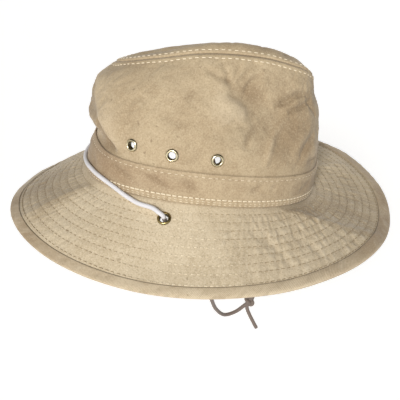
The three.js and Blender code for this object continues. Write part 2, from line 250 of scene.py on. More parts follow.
def fold_relief(folds: Sequence[Fold], degree_mm: float, angle: Array, up: Array) -> Array:
    """Adds up the relief of pressed folds.

    Args:
        folds: The folds.
        degree_mm: The length of one degree round the cloth.
        angle: Angles in radians.
        up: Heights or distances out, in millimetres.

    Returns:
        The rise of the cloth at each place, in millimetres.
    """
    relief = np.zeros(np.broadcast(angle, up).shape)
    for fold in folds:
        path = np.array(fold.path) * (degree_mm, 1.0)
        middle = np.mean([point[0] for point in fold.path])
        turned = degrees_beyond(angle, middle) + middle
        place = np.stack(np.broadcast_arrays(turned * degree_mm, up), -1)
        lengths = np.linalg.norm(np.diff(path, axis=0), axis=1)
        nearest = np.full(place.shape[:-1], 1e9)
        side = np.zeros_like(nearest)
        share = np.zeros_like(nearest)
        for k, length in enumerate(lengths):
            way = (path[k + 1] - path[k]) / length
            off = place - path[k]
            along = np.clip(off @ way, 0, length)
            distance = np.linalg.norm(off - along[..., None] * way, axis=-1)
            closer = distance < nearest
            nearest = np.where(closer, distance, nearest)
            side = np.where(closer, way[0] * off[..., 1] - way[1] * off[..., 0], side)
            share = np.where(closer, (lengths[:k].sum() + along) / lengths.sum(), share)
        width = fold.right + (fold.left - fold.right) * smooth_step(-0.6, 0.6, side)
        taper = np.sqrt(np.sin(np.pi * np.clip(share, 0, 1)).clip(0, 1))
        relief -= fold.depth * taper * np.exp(-((nearest / width) ** fold.edge))
    return relief


def soil_and_shade_amount(soil_and_shade_patches: Sequence[SoilAndShadePatch], angle: Array, up: Array) -> Array:
    """Adds up darker patches of soil and painted shade.

    Args:
        soil_and_shade_patches: The patches.
        angle: Angles in radians.
        up: Heights or distances out, in millimetres.

    Returns:
        How dark the patches make the cloth, from 0 to 1.
    """
    total = np.zeros(np.broadcast(angle, up).shape)
    for soil_and_shade in soil_and_shade_patches:
        turned = degrees_beyond(angle, soil_and_shade.angle)
        total = total + soil_and_shade.strength * bell(turned, soil_and_shade.wide) * bell(up - soil_and_shade.up, soil_and_shade.tall)
    return np.clip(total, 0, 1)


# The shape that all the pieces follow

@dataclass(frozen=True)
class HatForm:
    """The form of the crown and the brim, in millimetres."""

    half_length: float = 99.0
    half_width: float = 91.0
    back_fullness: float = 0.15
    seam_rise: float = 5.1
    crown_height: float = 112.0
    crown_cloth: float = 1.8
    tip_puff: float = 6.0
    puff_spread: float = 0.7
    front_puffs: tuple[tuple[float, float], ...] = ((-60, 0.5), (60, 0.15))
    dent_depth: float = 11.0
    band_height: float = 27.0
    brim_width: float = 74.0
    brim_cloth: float = 2.0
    binding_width: float = 10.5
    sewn_gap: float = 0.3
    droop: tuple[float, ...] = (8.4, 1.0, 5.1, 21.3, 32.4, 36.0, 33.4, 28.4, 34.3, 40.4, 29.6, 16.1)
    tip_seam: tuple[float, ...] = (
        0.857, 0.857, 0.884, 0.875, 0.804, 0.741, 0.732, 0.795, 0.893, 0.991, 1.0, 0.938)
    sections: tuple[Section, ...] = (
        Section(0.0, 1.0, 1.0, 1.0, 1.0),
        Section(0.28, 1.0, 0.985, 0.985, 0.985),
        Section(0.5, 0.97, 1.04, 0.925, 0.94),
        Section(0.7, 0.937, 1.03, 0.81, 0.82),
        Section(0.86, 0.892, 0.975, 0.675, 0.68),
        Section(1.0, 0.827, 0.835, 0.5, 0.47),
    )
    crease: tuple[CreasePoint, ...] = (
        CreasePoint(-0.566, 0.732), CreasePoint(-0.303, 0.768), CreasePoint(0.0, 0.83),
        CreasePoint(0.283, 0.94), CreasePoint(0.525, 0.972),
    )
    dents: tuple[Dent, ...] = (
        Dent(-58, 0.7, 1.0, 21, 0.18), Dent(58, 0.7, 0.82, 21, 0.18),
        Dent(-152, 0.36, 0.82, 24, 0.1), Dent(150, 0.36, 0.55, 24, 0.1),
    )

    def opening(self, angle: Array) -> tuple[Array, Array]:
        """Returns x and y of the head opening, an oval that is fuller at the back."""
        width = self.half_width * (1 - self.back_fullness * np.cos(angle))
        return self.half_length * np.cos(angle), width * np.sin(angle)

    def seam_height(self, angle: Array) -> Array:
        """Returns the height of the seam between crown and brim."""
        return -self.seam_rise * np.cos(2 * angle)

    def outward(self, angle: Array) -> tuple[Array, Array]:
        """Returns x and y of the level direction straight out of the head opening."""
        x, y = np.cos(angle) / self.half_length, np.sin(angle) / self.half_width
        length = np.hypot(x, y)
        return x / length, y / length

    def wall_height(self, angle: Array) -> Array:
        """Returns the height of the crown wall from its foot to the tip's seam."""
        return self.crown_height * around(self.tip_seam, angle) - self.seam_height(angle)

    def wall(self, angle: Array, height: Array) -> Array:
        """Gives points of the crown wall's outside.

        Args:
            angle: Angles in radians.
            height: From 0 at the brim to 1 at the tip's seam.

        Returns:
            The points, in millimetres.
        """
        places = column(self.sections, "height")
        reach = {side: up_table(places, column(self.sections, side), height)
                 for side in ("front", "back", "right", "left")}
        lengthwise = np.where(np.cos(angle) > 0, reach["front"], reach["back"])
        sideways = np.where(np.sin(angle) > 0, reach["left"], reach["right"])
        inward = 0.0
        for dent in self.dents:
            turned = degrees_beyond(angle, dent.angle)
            pressed = bell(turned, dent.fade) * bell(height - dent.height, dent.spread)
            inward = inward + self.dent_depth * dent.depth * pressed
        (x, y), (out_x, out_y) = self.opening(angle), self.outward(angle)
        z = self.seam_height(angle) + height * self.wall_height(angle)
        return np.stack(np.broadcast_arrays(
            x * lengthwise - out_x * inward, y * sideways - out_y * inward, z), -1)

    def tip(self, angle: Array, share: Array) -> Array:
        """Gives points of the tip's outside.

        Args:
            angle: Angles in radians.
            share: From 0 at its seam to 1 at the crease.

        Returns:
            The points, in millimetres.
        """
        seam = self.wall(angle, np.ones(np.shape(share)))
        places = column(self.crease, "along")
        along = places[-1] + (places[0] - places[-1]) * (1 - np.cos(angle)) / 2
        top = self.crown_height * up_table(places, column(self.crease, "height"), along)
        level = share * share * (3 - 2 * share)
        full = 0.6 + 0.4 * np.abs(np.sin(angle))
        for degrees, more in self.front_puffs:
            turned = np.radians(degrees_beyond(angle, degrees))
            full = full + more * bell(turned, self.puff_spread)
        puff = self.tip_puff * 6.75 * share * (1 - share) ** 2 * full
        return np.stack(np.broadcast_arrays(
            seam[..., 0] + (self.half_length * along - seam[..., 0]) * share,
            seam[..., 1] * (1 - share),
            seam[..., 2] + (top - seam[..., 2]) * level + puff), -1)

    def crown(self, angle: Array, place: Array) -> Array:
        """Gives points of the whole crown: 0 to 1 up the wall, 1 to 2 over the tip."""
        wall = self.wall(angle, np.minimum(place, 1.0))
        tip = self.tip(angle, np.clip(place - 1.0, 0.0, 1.0))
        return np.where((place <= 1.0)[..., None], wall, tip)

    def crown_normal(self, angle: Array, place: Array) -> Array:
        """Gives the crown's outward direction, measured across a small patch.

        Args:
            angle: Angles in radians.
            place: Places on the crown, from 0 to 2.

        Returns:
            Directions of unit length.
        """
        turn, step, crease = 0.01, 0.02, 1.94
        place = np.broadcast_to(place, np.broadcast(angle, place).shape)
        held = np.where(place >= 2.0, crease, place)
        low, high = np.maximum(held - step, 0), np.minimum(held + step, 1.98)
        round_ = self.crown(angle + turn, held) - self.crown(angle - turn, held)
        up = self.crown(angle, high) - self.crown(angle, np.minimum(low, high - step))
        return unit(np.cross(round_, up))

    def beside_crown(self, angle: Array, place: Array, distance: Array) -> Array:
        """Gives points at a distance outside the crown's outer surface.

        Args:
            angle: Angles in radians.
            place: Places on the crown, from 0 to 2.
            distance: Distances out, in millimetres.

        Returns:
            The points, in millimetres.
        """
        angle, place = np.broadcast_arrays(angle, place)
        normal = self.crown_normal(angle, place)
        creased = (place >= 2.0)[..., None]
        if np.any(creased):
            normal = np.where(creased, unit(normal + self.crown_normal(-angle, place)), normal)
        return self.crown(angle, place) + normal * np.asarray(distance)[..., None]

    def brim(self, angle: Array, along: Array, up: Array) -> Array:
        """Gives points of the brim.

        Args:
            angle: Angles in radians.
            along: Distances out from the crown's seam.
            up: Distances above the brim's upper face.

        Returns:
            The points, in millimetres.
        """
        droop = np.radians(around(self.droop, angle))
        (x, y), (out_x, out_y) = self.opening(angle), self.outward(angle)
        outside = along >= 0
        reach = np.where(outside, along * np.cos(droop) + up * np.sin(droop), along)
        rise = np.where(outside, up * np.cos(droop) - along * np.sin(droop), up)
        return np.stack(np.broadcast_arrays(
            x + out_x * reach, y + out_y * reach, self.seam_height(angle) + rise), -1)


FORM = HatForm()


# Finishes

class Value:
    """A shader value that is written in sums as a number is."""

    def __init__(self, maker: "Shader", socket: bpy.types.NodeSocket) -> None:
        """Holds the socket and the shader that it belongs to."""
        self.maker = maker
        self.socket = socket

    def __add__(self, other: "Value | float") -> "Value":
        """Returns the sum."""
        return self.maker.maths("ADD", self, other)

    def __sub__(self, other: "Value | float") -> "Value":
        """Returns the difference."""
        return self.maker.maths("SUBTRACT", self, other)

    def __rsub__(self, other: float) -> "Value":
        """Returns a number less this value."""
        return self.maker.maths("SUBTRACT", other, self)

    def __mul__(self, other: "Value | float") -> "Value":
        """Returns the product."""
        return self.maker.maths("MULTIPLY", self, other)

    __radd__ = __add__
    __rmul__ = __mul__

    def sine(self) -> "Value":
        """Returns the sine."""
        return self.maker.maths("SINE", self)


Input = Value | float | Sequence[float]


class Shader:
    """A material's nodes, made one by one."""

    def __init__(self, name: str) -> None:
        """Starts an empty material of that name."""
        self.material = bpy.data.materials.new(name)
        self.material.use_nodes = True
        self.tree = self.material.node_tree
        self.tree.nodes.clear()

    def node(self, kind: str, settings: dict[str, object], inputs: dict[str | int, Input],
             output: str | int = 0) -> Value:
        """Makes one node.

        Args:
            kind: The node's type.
            settings: Its own settings, such as a Math node's operation.
            inputs: Numbers, colours or values for its sockets.
            output: The socket that is wanted.

        Returns:
            The value of that socket.
        """
        made = self.tree.nodes.new(kind)
        for name, setting in settings.items():
            setattr(made, name, setting)
        for name, given in inputs.items():
            if isinstance(given, Value):
                self.tree.links.new(given.socket, made.inputs[name])
            else:
                made.inputs[name].default_value = given
        return Value(self, made.outputs[output])

    def maths(self, operation: str, *given: Input) -> Value:
        """Returns a Math node's result."""
        return self.node("ShaderNodeMath", {"operation": operation}, dict(enumerate(given)))

    def mix(self, factor: Input, below: Input, above: Input, blend: str = "MIX") -> Value:
        """Mixes two colours.

        Args:
            factor: How much of the second.
            below: The first colour.
            above: The second colour.
            blend: The way of mixing.

        Returns:
            The mixed colour.
        """
        settings = {"data_type": "RGBA", "blend_type": blend, "clamp_factor": True}
        colours = [given if isinstance(given, Value) else (*given, 1.0) for given in (below, above)]
        return self.node("ShaderNodeMix", settings, {0: factor, 6: colours[0], 7: colours[1]}, 2)

    def between(self, value: Value, low: float, high: float) -> Value:
        """Returns 0 below low, 1 above high and a smooth rise between them."""
        return self.node("ShaderNodeMapRange", {"interpolation_type": "SMOOTHSTEP"},
                         {"Value": value, "From Min": low, "From Max": high})

    def place(self) -> Value:
        """Returns the place on the hat, in metres."""
        return self.node("ShaderNodeTexCoord", {}, {}, "Object")

    def noise(self, vector: Value, scale: float, detail: float = 3.0, rough: float = 0.55) -> Value:
        """Returns a cloudy noise of so many cells to the metre."""
        return self.node("ShaderNodeTexNoise", {},
                         {"Vector": vector, "Scale": scale, "Detail": detail, "Roughness": rough})

    def attribute(self, name: str) -> Value:
        """Returns a value that is kept in the mesh."""
        return self.node("ShaderNodeAttribute", {"attribute_name": name}, {}, "Fac")

    def split(self, vector: Value, axis: str) -> Value:
        """Returns one part of a vector."""
        return self.node("ShaderNodeSeparateXYZ", {}, {0: vector}, axis)

    def bump(self, height: Value, distance: float, strength: float) -> Value:
        """Returns a normal raised by the height, over a distance in metres."""
        return self.node("ShaderNodeBump", {},
                         {"Strength": strength, "Distance": distance, "Height": height}, "Normal")

    def finish(self, inputs: dict[str | int, Input]) -> bpy.types.Material:
        """Closes the material with its surface.

        Args:
            inputs: What the surface's sockets are given.

        Returns:
            The material.
        """
        surface = self.node("ShaderNodeBsdfPrincipled", {}, inputs)
        closing = self.tree.nodes.new("ShaderNodeOutputMaterial")
        self.tree.links.new(surface.socket, closing.inputs["Surface"])
        return self.material


class Weave(Enum):
    """How the threads of a cloth cross."""

    PLAIN = "plain"
    TWILL = "twill"


@dataclass(frozen=True)
class WaxedCotton:
    """Cotton cloth with painted shade in its creases, pale worn ridges and uneven colour."""

    name: str
    pale: Colour
    tan: Colour
    # The dark tone: painted shade in creases, and the dark of the grain, specks and weave.
    crease: Colour
    worn: Colour
    # The colour of soil, which also serves as painted shade.
    soil: Colour
    weave: Weave = Weave.PLAIN
    thread: float = 0.0009
    thread_depth: float = 0.00012
    thread_tint: float = 0.1
    blotch: float = 0.75
    crease_shade_tint: float = 0.4
    worn_tint: float = 0.35
    grain_tint: float = 0.31
    roughness: float = 0.86

    def threads(self, shader: Shader) -> Value:
        """Returns the height of the woven threads, from 0 to 1."""
        cloth = shader.node("ShaderNodeUVMap", {"uv_map": "cloth"}, {})
        u = shader.split(cloth, "X") * (TURN / self.thread)
        v = shader.split(cloth, "Y") * (TURN / self.thread)
        if self.weave is Weave.TWILL:
            return (u + v).sine() * 0.5 + 0.5
        return u.sine() * v.sine() * 0.5 + 0.5

    def material(self) -> bpy.types.Material:
        """Returns the cloth's material."""
        shader = Shader(self.name)
        place = shader.place()
        fold = shader.attribute("fold")
        broad = shader.between(shader.noise(place, 26, 4, 0.6), 0.36, 0.66)
        middling = shader.between(shader.noise(place, 95, 4, 0.65), 0.4, 0.68)
        grain = shader.noise(place, 800, 3, 0.7)
        # This mark carries soil and painted shade together.
        soiled_and_shaded = shader.attribute("soil_and_shade") * (broad * 0.35 + 0.65)
        threads = self.threads(shader)
        specks = shader.between(shader.noise(place, 260, 0), 0.81, 0.85)
        colour = shader.mix((broad * 0.55 + middling * 0.45) * self.blotch, self.pale, self.tan)
        colour = shader.mix(soiled_and_shaded, colour, self.soil)
        # Painted shade: darker where the fold mark sinks, in creases, grooves and seams.
        colour = shader.mix(shader.between(0.0 - fold, 0.05, 1.0) * self.crease_shade_tint, colour,
                            self.crease)
        colour = shader.mix(shader.between(fold, 0.1, 1.0) * self.worn_tint, colour, self.worn)
        colour = shader.mix(shader.between(grain, 0.5, 0.66) * self.grain_tint, colour, self.crease)
        colour = shader.mix(shader.between(1.0 - grain, 0.5, 0.66) * self.grain_tint, colour,
                            self.worn)
        colour = shader.mix(specks * 0.45, colour, self.crease)
        colour = shader.mix((1.0 - threads) * self.thread_tint, colour, self.crease)
        height = threads * 0.6 + grain * 0.8 + middling * 0.5
        return shader.finish({
            "Base Color": colour,
            "Roughness": self.roughness - middling * 0.08,
            "Normal": shader.bump(height, self.thread_depth, 0.8),
            "Specular IOR Level": 0.22,
            "Sheen Weight": 0.12,
            "Sheen Roughness": 0.5,
        })


@dataclass(frozen=True)
class SewingThread:
    """Cotton thread, with painted shade where it goes down into the cloth."""

    name: str
    fresh: Colour
    blended: Colour
    needle_hole_shade: Colour
    fresh_from: float = -1.0
    fresh_to: float = 1.0
    slant: float = 1.5

    def material(self) -> bpy.types.Material:
        """Returns the thread's material, fresh only along one stretch of the hat's length."""
        shader = Shader(self.name)
        place = shader.place()
        lengthwise = shader.split(place, "X")
        patchy = lengthwise + shader.noise(place, 60, 2) * 0.05 - 0.025
        behind = 1.0 - shader.between(patchy, self.fresh_from, self.fresh_from + 0.06)
        outward = shader.maths("ABSOLUTE", shader.split(place, "Y"))
        ahead = shader.between(patchy - outward * self.slant, self.fresh_to - 0.05, self.fresh_to)
        colour = shader.mix(behind + ahead, self.fresh, self.blended)
        colour = shader.mix(shader.noise(place, 900, 2) * 0.3, colour, self.blended)
        # Painted shade at the ends of each stitch, where the thread dives into its needle hole.
        colour = shader.mix(shader.between(1.0 - shader.attribute("shown"), 0.1, 0.75), colour,
                            self.needle_hole_shade)
        return shader.finish({
            "Base Color": colour,
            "Roughness": 0.75 + shader.noise(place, 700, 1) * 0.1,
            "Normal": shader.bump(shader.noise(place, 1500, 1), 0.0001, 0.5),
            "Specular IOR Level": 0.25,
        })


@dataclass(frozen=True)
class AgedBrass:
    """Dulled plated brass, with painted shade in its hollows."""

    name: str
    bright: Colour
    dull: Colour

    def material(self) -> bpy.types.Material:
        """Returns the metal's material."""
        shader = Shader(self.name)
        place = shader.place()
        tarnish = shader.between(shader.noise(place, 420, 4, 0.65), 0.38, 0.7)
        # Painted shade where the fold mark is below nothing: the bore and the low edges.
        hollow_shade = shader.between(0.0 - shader.attribute("fold"), 0.0, 1.0)
        colour = shader.mix(tarnish * 0.6, self.bright, self.dull)
        colour = shader.mix(hollow_shade * 0.85, colour, self.dull)
        return shader.finish({
            "Base Color": colour,
            "Metallic": 1.0,
            "Roughness": 0.2 + tarnish * 0.25 + hollow_shade * 0.3,
            "Normal": shader.bump(shader.noise(place, 1400, 3), 0.00005, 0.4),
        })


@dataclass(frozen=True)
class BraidedCord:
    """A thin round cord with a fine braided cover."""

    name: str
    strand: Colour
    gap: Colour
    soil: Colour
    pitch: float = 0.0022
    strands: int = 8

    def material(self) -> bpy.types.Material:
        """Returns the cord's material."""
        shader = Shader(self.name)
        cloth = shader.node("ShaderNodeUVMap", {"uv_map": "cloth"}, {})
        place = shader.place()
        turn = shader.split(cloth, "X") * (TURN * self.strands)
        along = shader.split(cloth, "Y") * (TURN / self.pitch)
        braid = (turn + along).sine() * (turn - along).sine() * 0.5 + 0.5
        colour = shader.mix((1.0 - braid) * 0.5, self.strand, self.gap)
        colour = shader.mix(shader.between(shader.noise(place, 70, 3), 0.5, 0.75) * 0.5, colour,
                            self.soil)
        return shader.finish({
            "Base Color": colour,
            "Roughness": 0.62 + braid * 0.1,
            "Normal": shader.bump(braid, 0.00012, 0.6),
            "Specular IOR Level": 0.3,
            "Sheen Weight": 0.1,
        })


@dataclass(frozen=True)
class PlainFloor:
    """A pale matt floor."""

    name: str
    tone: Colour
    glow: float

    def material(self) -> bpy.types.Material:
        """Returns the floor's material."""
        shader = Shader(self.name)
        cloudy = shader.noise(shader.place(), 2, 1) * 0.02
        return shader.finish({"Base Color": shader.mix(cloudy, self.tone, (0.8, 0.8, 0.8)),
                              "Roughness": 0.9, "Specular IOR Level": 0.1,
                              "Emission Color": (1.0, 1.0, 1.0, 1.0),
                              "Emission Strength": self.glow})


# The crease and soil colours of these cloths also serve as painted shade.
CROWN_COTTON = WaxedCotton("crown_cotton", pale=(0.461, 0.366, 0.237), tan=(0.343, 0.254, 0.153),
                           crease=(0.165, 0.113, 0.063), worn=(0.600, 0.500, 0.355),
                           soil=(0.275, 0.195, 0.113), crease_shade_tint=0.5)
BAND_COTTON = WaxedCotton("band_cotton", pale=(0.475, 0.378, 0.249), tan=(0.357, 0.265, 0.162),
                          crease=(0.170, 0.113, 0.062), worn=(0.610, 0.505, 0.355),
                          soil=(0.265, 0.180, 0.105), blotch=0.8, crease_shade_tint=0.35)
BRIM_COTTON = WaxedCotton("brim_cotton", pale=(0.610, 0.512, 0.362), tan=(0.505, 0.408, 0.270),
                          crease=(0.215, 0.158, 0.095), worn=(0.750, 0.670, 0.530),
                          soil=(0.317, 0.242, 0.151), blotch=0.75, grain_tint=0.35)
BINDING_TWILL = WaxedCotton("binding_twill", pale=(0.678, 0.572, 0.408), tan=(0.540, 0.435, 0.290),
                            crease=(0.230, 0.163, 0.095), worn=(0.740, 0.650, 0.500),
                            soil=(0.301, 0.215, 0.129), weave=Weave.TWILL,
                            thread=0.0017, thread_depth=0.00025, thread_tint=0.42, grain_tint=0.22)
CREAM_THREAD = SewingThread("cream_thread", fresh=(0.80, 0.715, 0.545), blended=(0.56, 0.44, 0.275),
                            needle_hole_shade=(0.20, 0.135, 0.075))
BRIM_THREAD = SewingThread("brim_thread", fresh=(0.80, 0.715, 0.545), blended=(0.315, 0.240, 0.148),
                           needle_hole_shade=(0.085, 0.056, 0.030), fresh_from=-0.045, fresh_to=-0.100)
RING_BRASS = AgedBrass("aged_brass", bright=(0.76, 0.67, 0.45), dull=(0.085, 0.065, 0.026))
GROMMET_BRASS = AgedBrass("golden_brass", bright=(0.46, 0.35, 0.15), dull=(0.06, 0.043, 0.018))
WHITE_CORD = BraidedCord("white_cord", strand=(0.68, 0.67, 0.69), gap=(0.45, 0.44, 0.46),
                         soil=(0.55, 0.51, 0.47))
TAUPE_CORD = BraidedCord("taupe_cord", strand=(0.170, 0.135, 0.115), gap=(0.07, 0.053, 0.044),
                         soil=(0.12, 0.093, 0.076))
PALE_FLOOR = PlainFloor("pale_floor", tone=(0.93, 0.93, 0.93), glow=0.38)


# Meshes

@dataclass
class Skin:
    """Vertices, faces and what is kept on them, ready to become a mesh."""

    points: Array
    faces: list[Array]
    marks: dict[str, Array] = field(default_factory=dict)
    cloth: list[Array] = field(default_factory=list)

    def volume(self) -> float:
        """Returns the volume inside the faces, less than nothing if they face in."""
        total = 0.0
        for faces in self.faces:
            corners = self.points[faces]
            for k in range(1, faces.shape[1] - 1):
                cross = np.cross(corners[:, k], corners[:, k + 1])
                total += float(np.einsum("ij,ij->", corners[:, 0], cross)) / 6
        return total

    def build(self, name: str, material: bpy.types.Material,
              body: str = "root") -> bpy.types.Object:
        """Makes the mesh object and lets it ride on a body.

        Args:
            name: The piece's name.
            material: What it is made of.
            body: The body that carries it.

        Returns:
            The object.
        """
        if self.volume() < 0:
            self.faces = [faces[:, ::-1] for faces in self.faces]
            self.cloth = [places[:, ::-1] for places in self.cloth]
        used = np.unique(np.concatenate([faces.ravel() for faces in self.faces]))
        renumbered = np.zeros(len(self.points), int)
        renumbered[used] = np.arange(len(used))
        mesh = bpy.data.meshes.new(name)
        mesh.vertices.add(len(used))
        mesh.vertices.foreach_set("co", (self.points[used] * MM).ravel())
        corners = np.concatenate([renumbered[faces].ravel() for faces in self.faces])
        sizes = np.concatenate([np.full(len(faces), faces.shape[1]) for faces in self.faces])
        mesh.loops.add(len(corners))
        mesh.loops.foreach_set("vertex_index", corners)
        mesh.polygons.add(len(sizes))
        mesh.polygons.foreach_set("loop_start", np.cumsum(sizes) - sizes)
        mesh.polygons.foreach_set("use_smooth", np.ones(len(sizes), bool))
        if self.cloth:
            layer = mesh.uv_layers.new(name="cloth")
            flat = np.concatenate([places.ravel() for places in self.cloth])
            layer.uv.foreach_set("vector", flat)
        for mark, values in self.marks.items():
            kept = mesh.attributes.new(mark, "FLOAT", "POINT")
            kept.data.foreach_set("value", np.ascontiguousarray(values[used], dtype=np.float32))
        mesh.update(calc_edges=True)
        mesh.validate()
        mesh.materials.append(material)
        piece = bpy.data.objects.new(name, mesh)
        bpy.context.scene.collection.objects.link(piece)
        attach(piece, body)
        return piece


def grid_faces(rows: int, columns: int, row_loop: bool) -> tuple[Array, Array, Array]:
    """Numbers the four corners of each patch of a grid that closes round the hat.

    Args:
        rows: Number of rings of points.
        columns: Number of points in a ring.
        row_loop: True if the last ring joins the first.

    Returns:
        The corners' numbers, and the row and column of each patch.
    """
    bands = rows if row_loop else rows - 1
    row, col = np.meshgrid(np.arange(bands), np.arange(columns), indexing="ij")
    row, col = row.ravel(), col.ravel()
    next_row, next_col = (row + 1) % rows, (col + 1) % columns
    corners = np.stack([row * columns + col, row * columns + next_col,
                        next_row * columns + next_col, next_row * columns + col], 1)
    return corners, row, col


def grid_cloth(places: Array, row: Array, col: Array) -> Array:
    """Returns the cloth coordinates of each patch's corners.

    Args:
        places: Cloth coordinates of rows by columns, each a step longer than the patches.
        row: The row of each patch.
        col: The column of each patch.

    Returns:
        Four coordinates for each patch.
    """
    return np.stack([places[row, col], places[row, col + 1],
                     places[row + 1, col + 1], places[row + 1, col]], 1)


def strip_cloth(ring: Array, girth: float, up: Array) -> Array:
    """Returns the cloth coordinates of a strip round the hat, from its girth and rows in metres."""
    return np.stack(np.meshgrid(np.concatenate([ring, [TURN]]) / TURN * girth, up), -1)


def cloth_shell(outer: Array, inner: Array, places: Array, marks: dict[str, Array],
                cut: Array | None = None, last: Array | None = None) -> Skin:
    """Closes two faces of a cloth along all their edges.

    Args:
        outer: Points of the outer face, rows by columns.
        inner: Points of the inner face.
        places: Cloth coordinates, with one column more.
        marks: Values for the points of the outer face, kept for both.
        cut: True for each patch that is cut away.
        last: Column numbers that replace those of the last row, where it is folded shut.

    Returns:
        The closed cloth.
    """
    rows, columns = outer.shape[:2]
    corners, row, col = grid_faces(rows, columns, False)
    if last is not None:
        final = (rows - 1) * columns
        corners = np.where(corners >= final, final + last[corners % columns], corners)
    kept = np.ones(len(corners), bool) if cut is None else ~cut.ravel()
    corners, row, col = corners[kept], row[kept], col[kept]
    size = rows * columns
    start = corners.ravel()
    end = np.roll(corners, -1, axis=1).ravel()
    key = np.minimum(start, end) * size + np.maximum(start, end)
    _, back, count = np.unique(key, return_inverse=True, return_counts=True)
    rim = count[back] == 1
    start, end = start[rim], end[rim]
    hem = np.stack([end, start, start + size, end + size], 1)
    patch_cloth = grid_cloth(places, row, col)
    hem_cloth = np.zeros((len(hem), 4, 2))
    flat = places[:, :-1].reshape(-1, 2)
    for k, number in enumerate((end, start, start, end)):
        hem_cloth[:, k] = flat[number]
    return Skin(
        np.concatenate([outer.reshape(-1, 3), inner.reshape(-1, 3)]),
        [corners, corners[:, ::-1] + size, hem],
        {name: np.tile(values.ravel(), 2) for name, values in marks.items()},
        [patch_cloth, patch_cloth[:, ::-1], hem_cloth],
    )


def cloth_loop(points: Array, places: Array, marks: dict[str, Array]) -> Skin:
    """Closes a strip whose section is a closed loop.

    Args:
        points: Rings of points, the last beside the first.
        places: Cloth coordinates, with one row and one column more.
        marks: Values for the points.

    Returns:
        The closed strip.
    """
    corners, row, col = grid_faces(*points.shape[:2], True)
    return Skin(points.reshape(-1, 3), [corners],
                {name: values.ravel() for name, values in marks.items()},
                [grid_cloth(places, row, col)])


class RingSeat(NamedTuple):
    """Where a metal ring sits in a cloth."""

    angle: float
    along: float


def open_round(angle: Array, along: Array, seats: Sequence[RingSeat], degree_mm: float,
               opening: float) -> tuple[Array, Array, Array]:
    """Spreads a grid round the seats of the rings and marks the patches to cut away.

    Args:
        angle: The grid's angles in radians.
        along: The grid's heights or distances out, in millimetres.
        seats: The seats.
        degree_mm: The length of one degree round the cloth there.
        opening: How far the nearest points move away from a seat's middle.

    Returns:
        The new angles, the new distances and the patches to cut.
    """
    reach = 12.0
    cut = np.zeros((angle.shape[0] - 1, angle.shape[1]), bool)
    for seat in seats:
        across = degrees_beyond(angle, seat.angle) * degree_mm
        up = along - seat.along
        row, col = np.unravel_index(np.argmin(across ** 2 + up ** 2), across.shape)
        near = np.clip(1 - np.hypot(across, up) / reach, 0, 1)
        shifted = across - across[row, col] * near ** 2
        raised = up - up[row, col] * near ** 2
        distance = np.hypot(shifted, raised)
        pushed = np.where(distance < reach, opening + distance * (reach - opening) / reach,
                          distance)
        grow = pushed / np.maximum(distance, 1e-6)
        angle = angle + np.radians((shifted * grow - across) / degree_mm)
        along = along + raised * grow - up
        cut[row - 1:row + 1, col - 1:col + 1] = True
    return angle, along, cut


def seat_calm(angle: Array, along: Array, seats: Sequence[RingSeat], degree_mm: float) -> Array:
    """Returns 0 at the rings, where the cloth is held flat, and 1 away from them."""
    calm = np.ones(np.broadcast(angle, along).shape)
    for seat in seats:
        across = degrees_beyond(angle, seat.angle) * degree_mm
        calm = calm * smooth_step(5.0, 13.0, np.hypot(across, along - seat.along))
    return calm


# Sewing

class StitchLine(NamedTuple):
    """A row of stitches round the hat, on a surface of angle, place and lift."""

    surface: Surface
    place: Callable[[Array], Array]
    pitch: float
    length: float
    thickness: float
    outside: float = 1.0


